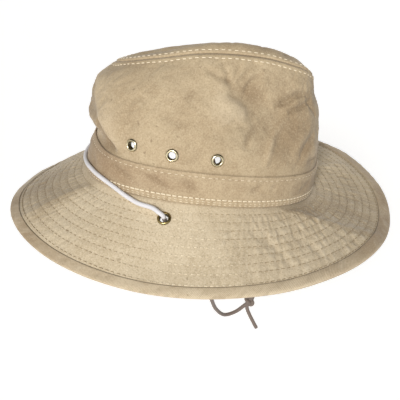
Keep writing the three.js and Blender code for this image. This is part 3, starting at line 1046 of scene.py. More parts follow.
@dataclass
class Sewing:
    """Rows of stitches, each a small thread that dives into the cloth at both ends."""

    name: str
    slot: str
    thread: SewingThread
    lines: list[StitchLine]
    sides: int = 5
    seed: int = 11

    def stitches(self, line: StitchLine, rng: np.random.Generator) -> tuple[Array, Array]:
        """Gives the points of one row of stitches.

        Args:
            line: The row.
            rng: Where the small differences between stitches come from.

        Returns:
            Points of stitches by rings by sides, and how far each point shows.
        """
        fine = np.linspace(0, TURN, 1441)
        path = line.surface(fine, line.place(fine), np.zeros_like(fine))
        run = run_along(path)
        count = int(round(run[-1] / line.pitch))
        centre = (np.arange(count) + 0.5 + rng.uniform(-0.06, 0.06, count)) * run[-1] / count
        half = line.length / 2 * rng.uniform(0.85, 1.1, count)
        angle = np.interp(centre, run, fine)
        place = line.place(angle)
        middle = line.surface(angle, place, np.zeros(count))
        up = unit(line.surface(angle, place, np.full(count, line.outside)) - middle)
        way = walk(path, run, centre + half)
        way = way - walk(path, run, centre - half)
        way = unit(way - up * np.sum(way * up, -1, keepdims=True))
        across = np.cross(up, way)
        way = unit(way + across * rng.normal(0, 0.03, (count, 1)))
        rings = ((-1.0, 0.55, -0.42, 0.0), (-0.62, 1.0, 0.3, 1.0), (0.62, 1.0, 0.3, 1.0),
                 (1.0, 0.55, -0.42, 0.0))
        turn = even_turn(self.sides)
        points, shown = [], []
        for along, wide, lift, seen in rings:
            ring = middle + way * (along * half)[:, None] + up * (lift * line.thickness)
            round_ = (across[:, None] * np.cos(turn)[:, None] + up[:, None] * np.sin(turn)[:, None])
            points.append(ring[:, None] + round_ * (wide * line.thickness / 2))
            shown.append(np.full((count, self.sides), seen))
        return np.stack(points, 1), np.stack(shown, 1)

    def build(self) -> bpy.types.Object:
        """Returns all the rows as one piece."""
        rng = np.random.default_rng(self.seed)
        made = [self.stitches(line, rng) for line in self.lines]
        points = np.concatenate([stitch for stitch, _ in made])
        shown = np.concatenate([seen for _, seen in made])
        count, rings, sides = points.shape[:3]
        first = (np.arange(count) * rings * sides)[:, None, None, None]
        ring = (np.arange(rings - 1) * sides)[None, :, None, None]
        a = np.arange(sides)
        b = (a + 1) % sides
        quads = np.stack([a, b, b + sides, a + sides], 1)[None, None]
        cap = np.array([np.arange(sides)[::-1], np.arange(sides) + (rings - 1) * sides])[None]
        faces = [(first + ring + quads).reshape(-1, 4), (first[:, 0] + cap).reshape(-1, sides)]
        piece = Skin(points.reshape(-1, 3), faces, {"shown": shown.ravel()}).build(
            self.name, self.thread.material())
        return piece


def at_place(place: float) -> Callable[[Array], Array]:
    """Returns a row that keeps the same place all round."""
    return lambda angle: np.full(np.shape(angle), place)


# The crown

@dataclass
class Crown:
    """The crown: its wall and its tip, sewn together and folded by wear."""

    form: HatForm
    columns: int = 540
    tip_columns: int = 360
    tip_rows: int = 40
    eyelet_height: float = 42.0
    eyelet_middle: float = 96.4
    eyelet_spacing: float = 19.5
    degree_mm: float = 1.56
    eyelet_opening: float = 3.0
    girth: float = 0.597
    cloth_tall: float = 0.1
    inner_limit: float = 4.0
    inner_share: float = 0.85
    seam_stitch: float = 3.0
    fold_strength: float = 1.45
    # Patches of soil; those at -30, -65 and -141 degrees are painted shade, on the front of the
    # right side that turns from the lamp, in the pinch and in the recess at the back above the
    # band.
    soil_and_shade_patches: tuple[SoilAndShadePatch, ...] = (
        SoilAndShadePatch(-30, 60, 20, 24, 0.95), SoilAndShadePatch(-65, 83, 10, 9, 0.8), SoilAndShadePatch(-22, 42, 14, 12, 0.6),
        SoilAndShadePatch(-141, 34, 11, 13, 1.0), SoilAndShadePatch(-136, 93, 12, 7, 0.5), SoilAndShadePatch(-97, 74, 9, 8, 0.4),
        SoilAndShadePatch(-118, 60, 8, 12, 0.3), SoilAndShadePatch(-52, 50, 7, 14, 0.35), SoilAndShadePatch(-76, 47, 8, 7, 0.25),
        SoilAndShadePatch(58, 72, 22, 18, 0.6), SoilAndShadePatch(118, 50, 16, 14, 0.5), SoilAndShadePatch(178, 45, 20, 12, 0.6),
        SoilAndShadePatch(15, 70, 16, 10, 0.4), SoilAndShadePatch(92, 84, 12, 8, 0.3),
    )
    folds: tuple[Fold, ...] = (
        Fold(((-76.2, 90.7), (-78, 84.9), (-77.8, 79.8), (-75.5, 76.2), (-67.5, 71), (-66.8, 62)),
             -2.4, 5, 14),
        Fold(((-89, 97), (-76.2, 90.7)), 1.0, 1.6, 2.6),
        Fold(((-76.2, 89), (-78.2, 96.5), (-82.5, 103)), 0.9, 1.8, 1.8),
        Fold(((-75, 91), (-72.2, 100.6), (-71, 106)), 1.0, 1.9, 1.9),
        Fold(((-72.5, 90), (-65.8, 101.7), (-62, 105)), 1.1, 2.2, 2.2),
        Fold(((-67.5, 84), (-64, 93.9), (-58.5, 100)), 1.1, 2.6, 2.6),
        Fold(((-79, 92.5), (-74, 88)), 1.2, 2.6, 2.6),
        Fold(((-48, 76.5), (-39.5, 82.8), (-34.5, 87.3), (-21, 90)), 1.7, 4.0, 1.8),
        Fold(((-40, 74), (-28.5, 80.3), (-18, 84.5)), 1.5, 3.4, 1.8),
        Fold(((-26, 88.5), (-19.2, 78.7), (-12, 71)), 1.3, 2.2, 2.2),
        Fold(((-54, 34), (-52.8, 46.3), (-51.2, 53.1), (-48.8, 59.3), (-43.8, 66.8), (-39, 71)),
             -1.3, 2.4, 3.2),
        Fold(((-65, 46), (-62.8, 54.9), (-57.5, 64)), 1.2, 3.4, 2.2),
        Fold(((-38, 44), (-28.8, 56.7), (-21, 64)), -1.1, 3.6, 3.8),
        Fold(((-32, 42), (-23, 53), (-15, 60)), 1.0, 3.0, 4.4),
        Fold(((-30, 40), (-12, 45), (6, 44)), -1.5, 7.0, 6.0),
        Fold(((-24, 34), (-10, 36)), 0.7, 3.0, 3.0),
        Fold(((-140, 55), (-133.5, 47.5), (-129.5, 40.5), (-124, 29)), -2.6, 13.0, 2.2),
        Fold(((-143, 49), (-136.5, 42), (-132.5, 36), (-127, 27)), 2.9, 2.2, 9.0),
        Fold(((-176, 55), (-160, 54), (-141, 52)), 1.9, 8.0, 8.0),
        Fold(((-24, 86), (0, 87), (26, 84)), 1.9, 9.0, 9.0),
        Fold(((-117.5, 75), (-113, 69)), 0.6, 1.4, 1.4),
        Fold(((-95, 87), (-92.8, 77), (-89, 71)), 0.7, 3.4, 3.4),
        Fold(((-122, 60), (-116, 52), (-112, 40)), 0.6, 5.0, 5.0),
        Fold(((-105, 66), (-99, 60), (-90, 58)), 0.5, 4.0, 4.0),
        Fold(((84, 99), (76, 91), (62, 87)), 1.3, 2.4, 3.0),
        Fold(((70, 104), (68, 96), (62, 90)), 1.1, 2.2, 2.2),
        Fold(((52, 100), (57, 92), (60, 86)), 1.0, 2.4, 2.4),
        Fold(((36, 85), (46, 79), (57, 77)), 1.4, 3.4, 2.0),
        Fold(((48, 36), (50, 50), (44, 64)), 1.5, 2.4, 4.2),
        Fold(((31, 38), (27, 50), (22, 56)), 0.8, 3.4, 4.0),
        Fold(((140, 50), (132, 40), (126, 32)), 1.8, 6.0, 2.4),
        Fold(((112, 74), (104, 60), (102, 50)), 0.8, 3.2, 4.4),
        Fold(((158, 66), (172, 56), (186, 54)), 1.2, 3.4, 2.2),
        Fold(((-172, 74), (-158, 68), (-150, 60)), 1.0, 2.4, 3.6),
    )

    def eyelets(self) -> dict[str, RingSeat]:
        """Returns the seats of the vent rings, by name, with heights above the origin."""
        seats = {}
        for side, turn in (("right", -1), ("left", 1)):
            for step in (-1, 0, 1):
                angle = turn * (self.eyelet_middle - step * self.eyelet_spacing)
                seats[f"{side}_{step + 2}"] = RingSeat(angle, self.eyelet_height)
        return seats

    def hem(self, from_seam: Array) -> Array:
        """Returns the relief beside the seam: a rib, the stitches' groove and the turned edge."""
        rib = 0.45 * bell(from_seam - 2.2, 1.9)
        groove = 0.35 * bell(from_seam - self.seam_stitch, 0.7)
        return rib - groove - 0.75 * bell(from_seam, 0.8)

    def both_faces(self, angle: Array, place: Array, relief: Array) -> tuple[Array, Array]:
        """Returns the outer face and the inner one, which follows the folds more softly."""
        soft = np.clip(relief, -self.inner_limit, self.inner_limit) * self.inner_share
        return (self.form.beside_crown(angle, place, relief),
                self.form.beside_crown(angle, place, soft - self.form.crown_cloth))

    def wall_relief(self, angle: Array, place: Array) -> Array:
        """Gives how far the worn wall stands out from its plain form.

        Args:
            angle: Angles in radians.
            place: Heights as shares of the wall.

        Returns:
            Distances in millimetres.
        """
        tall = self.form.wall_height(angle)
        height = place * tall
        turns = angle / TURN
        free = smooth_step(self.form.band_height - 2, self.form.band_height + 9, height)
        broad = 1.0 * Crumple(3, 17, 5, 0.5).at(turns, place)
        drape = 0.55 * Crumple(5, 44, 9, 0.8).at(turns, place)
        lines = 0.5 * Crumple(8, 58, 13, -0.7).ridges(turns, place)
        lines = lines + 0.28 * Crumple(12, 104, 24, 0.9).ridges(turns, place)
        fine = 0.17 * Crumple(9, 190, 44).at(turns, place)
        folds = self.fold_strength * fold_relief(self.folds, self.degree_mm, angle, height)
        seats = list(self.eyelets().values())
        calm = seat_calm(angle, height + self.form.seam_height(angle), seats, self.degree_mm)
        to_seam = tall - height
        held = 0.15 + 0.85 * calm
        worn = (broad + drape - lines + fine + folds) * free * held + 0.3 * free * (1 - calm)
        return worn * smooth_step(0.0, 5.0, to_seam) + self.hem(to_seam)

    def wall_surface(self, angle: Array, place: Array, lift: Array) -> Array:
        """Gives points over the worn wall, at places from 0 to 1."""
        return self.form.beside_crown(angle, place, self.wall_relief(angle, place) + lift)

    def tip_relief(self, angle: Array, share: Array) -> Array:
        """Gives how far the worn tip stands up from its plain form.

        Args:
            angle: Angles in radians.
            share: From 0 at the seam to 1 at the crease.

        Returns:
            Distances in millimetres.
        """
        plain = self.form.tip(angle, share)
        seam = self.form.tip(angle, np.zeros(np.shape(share)))
        from_seam = np.linalg.norm(plain - seam, axis=-1)
        east, north = plain[..., 0] / 400 + 0.5, plain[..., 1] / 200 + 0.5
        broad = 1.1 * Crumple(21, 12, 5, 0.4).at(east, north)
        lines = 0.55 * Crumple(23, 30, 11, 0.6).ridges(east, north)
        fine = 0.15 * Crumple(24, 90, 36).at(east, north)
        return (broad - lines + fine) * smooth_step(1.0, 9.0, from_seam) + self.hem(from_seam)

    def tip_surface(self, angle: Array, share: Array, lift: Array) -> Array:
        """Gives points over the worn tip, at shares from 0 to 1."""
        return self.form.beside_crown(angle, 1 + share, self.tip_relief(angle, share) + lift)

    def build_wall(self) -> bpy.types.Object:
        """Returns the wall, with holes under the vent rings."""
        form = self.form
        shares = np.concatenate([np.linspace(0, 0.24, 8), np.linspace(0.24, 0.93, 64)[1:],
                                 np.linspace(0.93, 1, 14)[1:]])
        ring = even_turn(self.columns)
        angle, share = np.meshgrid(ring, shares)
        gap = form.sewn_gap / 2 / form.wall_height(angle)
        height = (gap + share * (1 - 2 * gap)) * form.wall_height(angle) + form.seam_height(angle)
        seats = list(self.eyelets().values())
        angle, height, cut = open_round(angle, height, seats, self.degree_mm, self.eyelet_opening)
        place = (height - form.seam_height(angle)) / form.wall_height(angle)
        relief = self.wall_relief(angle, place)
        outer, inner = self.both_faces(angle, place, relief)
        places = strip_cloth(ring, self.girth, shares * self.cloth_tall)
        # Painted shade: the fold mark sinks in the creases and the seam's groove, and ridges turn
        # pale with wear.
        marks = {"fold": np.clip(relief / 2.4, -1, 1),
                 "soil_and_shade": soil_and_shade_amount(self.soil_and_shade_patches, angle, place * form.wall_height(angle))}
        skin = cloth_shell(outer, inner, places, marks, cut)
        return self.dress(skin, "crown_wall_cotton", "crown_wall")

    def build_tip(self) -> bpy.types.Object:
        """Returns the tip, folded shut along its crease."""
        form = self.form
        ring = even_turn(self.tip_columns)
        gap = form.sewn_gap / form.half_width
        shares = gap + (1 - gap) * np.linspace(0, 1, self.tip_rows) ** 1.35
        shares[-1] = 1.0
        angle, share = np.meshgrid(ring, shares)
        relief = self.tip_relief(angle, share)
        outer, inner = self.both_faces(angle, 1 + share, relief)
        numbers = np.arange(self.tip_columns)
        last = np.minimum(numbers, (self.tip_columns - numbers) % self.tip_columns)
        closed = np.concatenate([outer, outer[:, :1]], 1)
        # Painted shade in the tip's creases by the fold mark, and the cloth grows darker towards
        # the crease.
        marks = {"fold": np.clip(relief / 2.0, -1, 1), "soil_and_shade": 0.7 * smooth_step(0.55, 1.0, share)}
        skin = cloth_shell(outer, inner, closed[..., :2] * MM, marks, last=last)
        return self.dress(skin, "crown_tip_cotton", "crown_tip")

    def dress(self, skin: Skin, name: str, node: str) -> bpy.types.Object:
        """Builds one cloth of the crown in place of its plain node."""
        piece = skin.build(name, CROWN_COTTON.material())
        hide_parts(node)
        return piece

    def build_stitching(self) -> bpy.types.Object:
        """Returns the two rows of stitches beside the tip's seam."""
        def wall_row(angle: Array) -> Array:
            """Returns the place of the row on the wall."""
            return 1 - self.seam_stitch / self.form.wall_height(angle)

        def tip_row(angle: Array) -> Array:
            """Returns the place of the row on the tip."""
            near = np.full(np.shape(angle), 0.05)
            reach = self.form.tip(angle, near) - self.form.tip(angle, np.zeros(np.shape(angle)))
            return near * self.seam_stitch / np.linalg.norm(reach, axis=-1)

        lines = [StitchLine(self.wall_surface, wall_row, 5.0, 3.6, 0.72),
                 StitchLine(self.tip_surface, tip_row, 5.0, 3.6, 0.72)]
        return Sewing("crown_stitching", "crown_cotton", CREAM_THREAD, lines, seed=31).build()


# The band

@dataclass
class Hatband:
    """The cloth band round the foot of the crown, with its stitched lower strip.

    The profile holds heights and distances out from the wall, round the band's section.
    """

    form: HatForm
    columns: int = 540
    rings: int = 60
    girth: float = 0.6
    degree_mm: float = 1.62
    lower_rows: tuple[float, float] = (2.2, 6.1)
    middle_row: float = 4.1
    upper_row: float = 23.7
    soil_and_shade_patches: tuple[SoilAndShadePatch, ...] = (
        SoilAndShadePatch(-126, 15, 20, 16, 1.0), SoilAndShadePatch(-150, 14, 20, 16, 1.0), SoilAndShadePatch(-101, 17, 7, 9, 0.7),
        SoilAndShadePatch(-88, 15, 5, 7, 0.35), SoilAndShadePatch(-12, 14, 14, 10, 0.35), SoilAndShadePatch(180, 14, 24, 20, 0.7),
        SoilAndShadePatch(128, 14, 24, 16, 0.6), SoilAndShadePatch(70, 12, 18, 10, 0.4),
    )
    folds: tuple[Fold, ...] = (
        Fold(((-128, 23), (-120, 18), (-113, 13)), 0.7, 2.4, 3.0),
        Fold(((-106, 22), (-101, 16), (-95, 10)), 0.8, 2.4, 3.4),
        Fold(((-90, 21), (-83, 12)), 0.6, 2.4, 3.0),
        Fold(((-60, 13), (-54, 23)), 0.7, 2.0, 3.0),
        Fold(((-50, 14), (-46.5, 22)), 0.5, 1.8, 2.4),
        Fold(((-30, 9), (-18, 20)), 0.6, 2.4, 3.4),
        Fold(((-150, 22), (-140, 12)), 0.7, 3.0, 3.0),
        Fold(((-170, 12), (-160, 22)), 0.7, 3.0, 3.0),
        Fold(((20, 10), (30, 21)), 0.6, 3.0, 3.0),
        Fold(((62, 22), (72, 11)), 0.7, 3.0, 3.0),
        Fold(((100, 11), (110, 22)), 0.7, 3.0, 3.0),
        Fold(((140, 22), (152, 12)), 0.7, 3.0, 3.0),
    )
    profile: tuple[tuple[float, float], ...] = (
        (0.6, 0.5), (0.75, 1.2), (1.3, 1.6), (2.2, 1.45), (3.2, 1.75), (4.4, 1.75), (5.4, 1.45),
        (6.1, 1.05),
        (6.7, 1.5), (7.6, 1.75), (9.5, 1.8), (12, 1.8), (14.5, 1.85), (17, 1.9), (19.5, 1.95),
        (21.5, 1.9),
        (22.8, 1.7), (23.7, 1.35), (24.6, 1.65), (25.6, 1.8), (26.4, 1.65), (26.85, 1.3),
        (27.0, 0.9),
        (26.9, 0.5), (26.6, 0.3), (18, 0.3), (9, 0.3), (0.7, 0.3),
    )

    def relief(self, angle: Array, height: Array) -> Array:
        """Gives the slight folds of the band, in millimetres."""
        between = smooth_step(6.0, 10.0, height) * (1 - smooth_step(20.0, 25.0, height))
        turns, up = angle / TURN, height / self.form.band_height
        soft = 0.22 * Crumple(41, 40, 3, 1.4).at(turns, up)
        lines = 0.25 * Crumple(42, 64, 4, 1.8).ridges(turns, up)
        seam = 0.12 * Crumple(43, 150, 2).at(turns, up)
        folds = fold_relief(self.folds, self.degree_mm, angle, height)
        return (folds + soft - lines - 0.1) * between + seam * smooth_step(0.5, 2.0, height)

    def surface(self, angle: Array, height: Array, lift: Array) -> Array:
        """Gives points over the band's outer face, at heights in millimetres."""
        outer = np.array(self.profile[1:23])
        proud = np.interp(height, outer[:, 0], outer[:, 1])
        place = height / self.form.wall_height(angle)
        return self.form.beside_crown(angle, place, proud + self.relief(angle, height) + lift)

    def build(self) -> bpy.types.Object:
        """Returns the band as one closed strip."""
        section = np.array(self.profile)
        run = run_along(section)
        even = np.linspace(0, run[-1], self.rings)
        height = np.interp(even, run, section[:, 0])
        proud = np.interp(even, run, section[:, 1])
        ring = even_turn(self.columns)
        angle, level = np.meshgrid(ring, height)
        outside = smooth_step(0.35, 1.2, proud)[:, None]
        relief = self.relief(angle, level) * outside
        place = level / self.form.wall_height(angle)
        points = self.form.beside_crown(angle, place, proud[:, None] + relief)
        low, high = self.lower_rows
        # Painted shade: the fold mark sinks in the stitched grooves and on the band's inner face.
        groove = -0.9 * bell(level - high, 0.7) - 0.6 * bell(level - low, 0.6)
        groove = groove - 0.6 * bell(level - self.upper_row, 0.6) - 0.8 * (1 - outside)
        closed = np.concatenate([even, [run[-1] + self.form.sewn_gap]])
        places = strip_cloth(ring, self.girth, closed * MM)
        marks = {"fold": np.clip(relief / 0.9 + groove * outside, -1, 1),
                 "soil_and_shade": soil_and_shade_amount(self.soil_and_shade_patches, angle, level)}
        skin = cloth_loop(points, places, marks)
        piece = skin.build("hatband_cotton", BAND_COTTON.material())
        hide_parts("hatband")
        return piece

    def build_stitching(self) -> bpy.types.Object:
        """Returns the band's rows of stitches, the third of them thick and close."""
        lines = [
            StitchLine(self.surface, at_place(self.lower_rows[0]), 4.3, 2.7, 0.42),
            StitchLine(self.surface, at_place(self.middle_row), 4.3, 2.7, 0.42),
            StitchLine(self.surface, at_place(self.lower_rows[1]), 4.3, 4.5, 0.95),
            StitchLine(self.surface, at_place(self.upper_row), 5.2, 3.1, 0.42),
        ]
        return Sewing("hatband_stitching", "band_cotton", CREAM_THREAD, lines, seed=43).build()


# The brim

@dataclass
class Brim:
    """The quilted brim and the tape folded round its edge.

    The tables of twelve hold a value for each 30 degrees, from the front toward the
    wearer's left. Painted shade darkens the cloth beyond the two creases, where it turns
    from the lamp, and the depth of each of these folds is the shade that it takes away.
    """

    form: HatForm
    columns: int = 1080
    rings: int = 43
    tucked: float = 1.3
    tape_columns: int = 900
    tape_rings: int = 46
    tape_girth: float = 1.06
    degree_mm: float = 2.3
    first_row: float = 6.5
    row_step: float = 7.0
    row_count: int = 8
    grommet_angle: float = 95.1
    grommet_from_seam: float = 14.4
    grommet_opening: float = 3.4
    grommet_degree_mm: float = 1.9
    # Patches of soil; those at -158, -5 and -28 degrees are painted shade, at the back, on the
    # front that the lamp grazes and in the corner by the band's foot.
    soil_and_shade_patches: tuple[SoilAndShadePatch, ...] = (
        SoilAndShadePatch(-158, 40, 16, 50, 0.75), SoilAndShadePatch(-5, 40, 24, 60, 0.6), SoilAndShadePatch(-28, 8, 12, 10, 0.6),
        SoilAndShadePatch(180, 40, 20, 60, 0.5), SoilAndShadePatch(60, 30, 24, 30, 0.4), SoilAndShadePatch(120, 45, 20, 24, 0.4),
    )
    # Those at -8 and -146 degrees are painted shade, at the front and at the back; the other two
    # are soil.
    tape_soil_and_shade_patches: tuple[SoilAndShadePatch, ...] = (
        SoilAndShadePatch(-8, 68, 34, 60, 0.85), SoilAndShadePatch(-146, 68, 30, 60, 1.0), SoilAndShadePatch(50, 68, 28, 60, 0.6),
        SoilAndShadePatch(130, 68, 30, 60, 0.5),
    )
    # Painted shade beyond the two creases, laid out as folds.
    painted_shades: tuple[Fold, ...] = (
        Fold(((-46, -10), (-41, 4), (-33.2, 20), (-28.2, 34), (-23.3, 50.5), (-15, 72)), -0.62, 0.8,
             30.0, 1.2),
        Fold(((-137, -6), (-139.5, 6), (-140.5, 29.6), (-142.2, 52), (-146, 90)), -0.4, 26.0, 5.0,
             1.4),
    )
    tape_rise: tuple[float, ...] = (1.0, 1.0, 1.0, 1.0, 1.0, 1.0, 0.6, 0.1, 0.1, 0.5, 0.9, 1.0)
    row_margins: tuple[float, ...] = (1.0, 1.0, 1.0, 1.0, 1.0, 1.0, 1.6, 2.8, 2.2, 1.2, 1.0, 1.0)
    puckers: tuple[float, ...] = (0.95, 0.9, 0.7, 0.5, 0.6, 0.75, 0.9, 0.8, 0.35, 0.35, 0.75, 1.0)
    channels: tuple[float, ...] = (0.6, 0.5, 0.4, 0.35, 0.4, 0.5, 0.5, 0.45, 0.24, 0.14, 0.26, 0.45)
    tape_widths: tuple[float, ...] = (11.0, 10.8, 10.5, 10.5, 10.5, 10.5, 10.0, 8.6, 8.4, 8.6, 8.9,
                                      10.5)
    folds: tuple[Fold, ...] = (
        Fold(((-41, 2), (-33.2, 14.8), (-28.5, 25), (-25, 34.2), (-21.2, 46.4), (-15, 70)), -4.2,
             22.0, 7.0, 1.3),
        Fold(((-139.5, 6), (-140.5, 16.8), (-142.2, 29.6), (-142.8, 38), (-144, 54.8), (-146, 72)),
             -3.2, 8.0, 20.0, 1.3),
        Fold(((-13, 5), (-19, 12), (-23, 17)), 0.8, 4.0, 4.0),
        Fold(((-62, 17), (-56, 36.8), (-54.5, 52)), 0.9, 3.0, 4.5),
        Fold(((-57, 22), (-52.8, 42.8), (-51, 62)), 0.9, 3.0, 4.5),
        Fold(((-46, 26), (-41, 45), (-39, 60)), 0.8, 3.0, 4.0),
        Fold(((34, 5), (30, 30), (31, 58)), -2.4, 16.0, 8.0, 1.3),
        Fold(((68, 10), (72, 34), (70, 60)), 1.2, 7.0, 9.0),
        Fold(((132, 6), (136, 32), (134, 64)), -2.4, 14.0, 8.0, 1.3),
        Fold(((176, 12), (172, 40), (174, 62)), 1.0, 7.0, 7.0),
    )

    def tape_width(self, angle: Array) -> Array:
        """Returns how far the edge tape reaches in from the brim's edge."""
        return around(self.tape_widths, angle)

    def edge_row(self, angle: Array) -> Array:
        """Returns the distance of the last stitched row, which runs beside the tape."""
        return self.form.brim_width - self.tape_width(angle) - around(self.row_margins, angle)

    def rows(self) -> list[Callable[[Array], Array]]:
        """Returns the stitched rows, as distances from the crown's seam at each angle."""
        even = [at_place(self.first_row + self.row_step * k) for k in range(self.row_count)]
        return [*even, self.edge_row]

    def seats(self) -> list[RingSeat]:
        """Returns the seats of the two cord grommets."""
        return [RingSeat(turn * self.grommet_angle, self.grommet_from_seam) for turn in (-1, 1)]

    def sweep(self, angle: Array, along: Array) -> Array:
        """Gives the broad folds, which the edge tape follows too.

        Args:
            angle: Angles in radians.
            along: Distances out from the crown's seam.

        Returns:
            Distances in millimetres.
        """
        turns, out = angle / TURN, along / self.form.brim_width
        free = smooth_step(1.0, 10.0, along) * seat_calm(angle, along, self.seats(), self.degree_mm)
        soft = 0.8 * Crumple(61, 26, 3, 0.4).at(turns, out) * smooth_step(10, 50, along)
        return (fold_relief(self.folds, self.degree_mm, angle, along) + soft) * free

    def pucker_strength(self, angle: Array) -> Array:
        """Returns how strongly the quilting gathers, from 0 to 1, round the hat."""
        return around(self.puckers, angle).clip(0.15, 1)

    def quilting(self, angle: Array, along: Array) -> Array:
        """Gives the channels of the stitched rows and the puckers between them.

        Args:
            angle: Angles in radians.
            along: Distances out from the crown's seam.

        Returns:
            Distances in millimetres.
        """
        place = (along - self.first_row) / self.row_step
        nearest = np.abs(place - np.round(np.clip(place, 0, self.row_count - 1))) * self.row_step
        edge = self.edge_row(angle)
        nearest = np.minimum(nearest, np.abs(along - edge))
        channel = bell(nearest, 0.95)
        turns, out = angle / TURN, np.clip((place + 1) / 10, 0, 1)
        pleats = Crumple(71, 400, 5, 2.2).at(turns, out)
        pleats = pleats + 0.6 * Crumple(72, 240, 5, -1.6).at(turns, out)
        gathers = pleats + 0.3 * Crumple(74, 420, 20, 0.4).at(turns, out)
        calm = seat_calm(angle, along, self.seats(), self.degree_mm)
        inside = 1 - smooth_step(edge - 0.5, edge + 0.7, along)
        start = smooth_step(2.0, 9.0, along)
        gathered = 0.55 * self.pucker_strength(angle) * gathers * (1 - 0.6 * channel)
        fine = 0.12 * Crumple(73, 420, 46).at(turns, along / self.form.brim_width)
        sewn = around(self.channels, angle) * channel
        return ((gathered + fine) * start - sewn) * inside * (0.2 + 0.8 * calm)

    def surface(self, angle: Array, along: Array, lift: Array) -> Array:
        """Gives points over the brim's upper face."""
        top = -self.form.sewn_gap / 2
        up = top + self.sweep(angle, along) + self.quilting(angle, along)
        return self.form.brim(angle, along, up + lift)

    def underside(self, angle: Array, along: Array, lift: Array) -> Array:
        """Gives points over the brim's lower face, with the lift upward."""
        bottom = -self.form.sewn_gap / 2 - self.form.brim_cloth
        up = bottom + self.sweep(angle, along) - 0.8 * self.quilting(angle, along)
        return self.form.brim(angle, along, up + lift)

    def build(self) -> bpy.types.Object:
        """Returns the quilted cloth, with holes under the grommets."""
        form = self.form
        edge = form.brim_width - self.tucked
        steps = np.concatenate([[-form.crown_cloth], np.linspace(0, edge, self.rings)])
        ring = even_turn(self.columns)
        angle, along = np.meshgrid(ring, steps)
        angle, along, cut = open_round(angle, along, self.seats(), self.grommet_degree_mm,
                                       self.grommet_opening)
        zero = np.zeros_like(angle)
        outer = self.surface(angle, along, zero)
        inner = self.underside(angle, along, zero)
        # Painted shade: the fold mark sinks in the quilting channels and in the hollows of the
        # broad folds.
        fold = self.quilting(angle, along) * 1.1 + np.minimum(self.sweep(angle, along), 0) * 0.12
        closed = np.concatenate([outer, outer[:, :1]], 1)
        # Soil from the listed patches, with painted shade from some of them and beyond the two
        # creases.
        soil_and_painted_shade = soil_and_shade_amount(self.soil_and_shade_patches, angle, along)
        soil_and_painted_shade = soil_and_painted_shade + fold_relief(self.painted_shades, self.degree_mm, angle, along)
        marks = {"fold": np.clip(fold, -1, 1), "soil_and_shade": np.clip(soil_and_painted_shade, 0, 1)}
        skin = cloth_shell(outer, inner, closed[..., :2] * MM, marks, cut)
        piece = skin.build("brim_quilted_cotton", BRIM_COTTON.material())
        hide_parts("brim")
        return piece

    def build_binding(self) -> bpy.types.Object:
        """Returns the tape, folded round the brim's edge."""
        form = self.form
        inner, outer = form.brim_width - form.binding_width, form.brim_width
        section = np.array([
            (inner, 0.1), (inner + 0.05, 0.3), (inner + 0.5, 0.55), (inner + 1.6, 0.85),
            (inner + 3.5, 1.15),
            (inner + 6, 1.3), (outer - 2.4, 1.25), (outer - 1.0, 0.9), (outer - 0.25, 0.2),
            (outer, -0.9),
            (outer - 0.05, -1.6), (outer - 0.35, -2.6), (outer - 1.1, -3.3), (outer - 2.4, -3.55),
            (inner + 6, -3.6),
            (inner + 3, -3.55), (inner + 1.2, -3.4), (inner + 0.3, -3.1), (inner, -2.5),
            (inner + 1.2, -2.45),
            (outer - 1.6, -2.45), (outer - 1.0, -2.2), (outer - 1.0, -0.1), (outer - 1.6, 0.15),
            (inner + 1.2, 0.15),
        ])
        joined = np.concatenate([section, section[:1]])
        run = run_along(joined)
        even = np.linspace(0, run[-1], self.tape_rings + 1)
        along_row, up_row = (np.interp(even[:-1], run, joined[:, k]) for k in (0, 1))
        ring = even_turn(self.tape_columns)
        angle, along = np.meshgrid(ring, along_row)
        narrow = np.clip((outer - 2.5 - along) / (outer - 2.5 - inner), 0, 1)
        along = along + narrow * (form.binding_width - self.tape_width(angle))
        turns = angle / TURN
        shown = (smooth_step(0.2, 0.7, up_row) + smooth_step(2.6, 3.1, -up_row))[:, None]
        across = (along - inner) / form.binding_width
        ripple = 0.28 * Crumple(81, 260, 2, 1.2).at(turns, across)
        ripple = ripple + 0.25 * Crumple(82, 60, 2, 0.8).at(turns, across)
        upper = np.where(up_row > -1.1, 1.0, -1.0)[:, None]
        low, rise = 0.25, around(self.tape_rise, angle).clip(0.1, 1)
        plain = up_row[:, None]
        flat = np.where(plain > low, low + (plain - low) * rise, plain)
        up = flat + self.sweep(angle, along) + ripple * shown * upper * (0.4 + 0.6 * rise)
        points = form.brim(angle, along, up)
        places = strip_cloth(ring, self.tape_girth, even * MM)
        # Painted shade: the fold mark sinks on the tape's turned-under parts and follows its
        # ripples.
        marks = {"fold": np.clip(ripple * 1.6 - 0.2 * (1 - shown), -1, 1),
                 "soil_and_shade": soil_and_shade_amount(self.tape_soil_and_shade_patches, angle, along)}
        skin = cloth_loop(points, places, marks)
        piece = skin.build("brim_binding_tape", BINDING_TWILL.material())
        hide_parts("brim_binding")
        return piece

    def build_stitching(self) -> bpy.types.Object:
        """Returns the quilting rows, above and below."""
        lines = []
        for number, row in enumerate(self.rows()):
            length, thick = (3.0, 0.55) if number < self.row_count else (3.4, 0.7)
            lines.append(StitchLine(self.surface, row, 4.6, length, thick))
            lines.append(StitchLine(self.underside, row, 4.6, length, thick, -1.0))
        return Sewing("brim_stitching", "brim_cotton", BRIM_THREAD, lines, seed=61).build()


# The metal rings

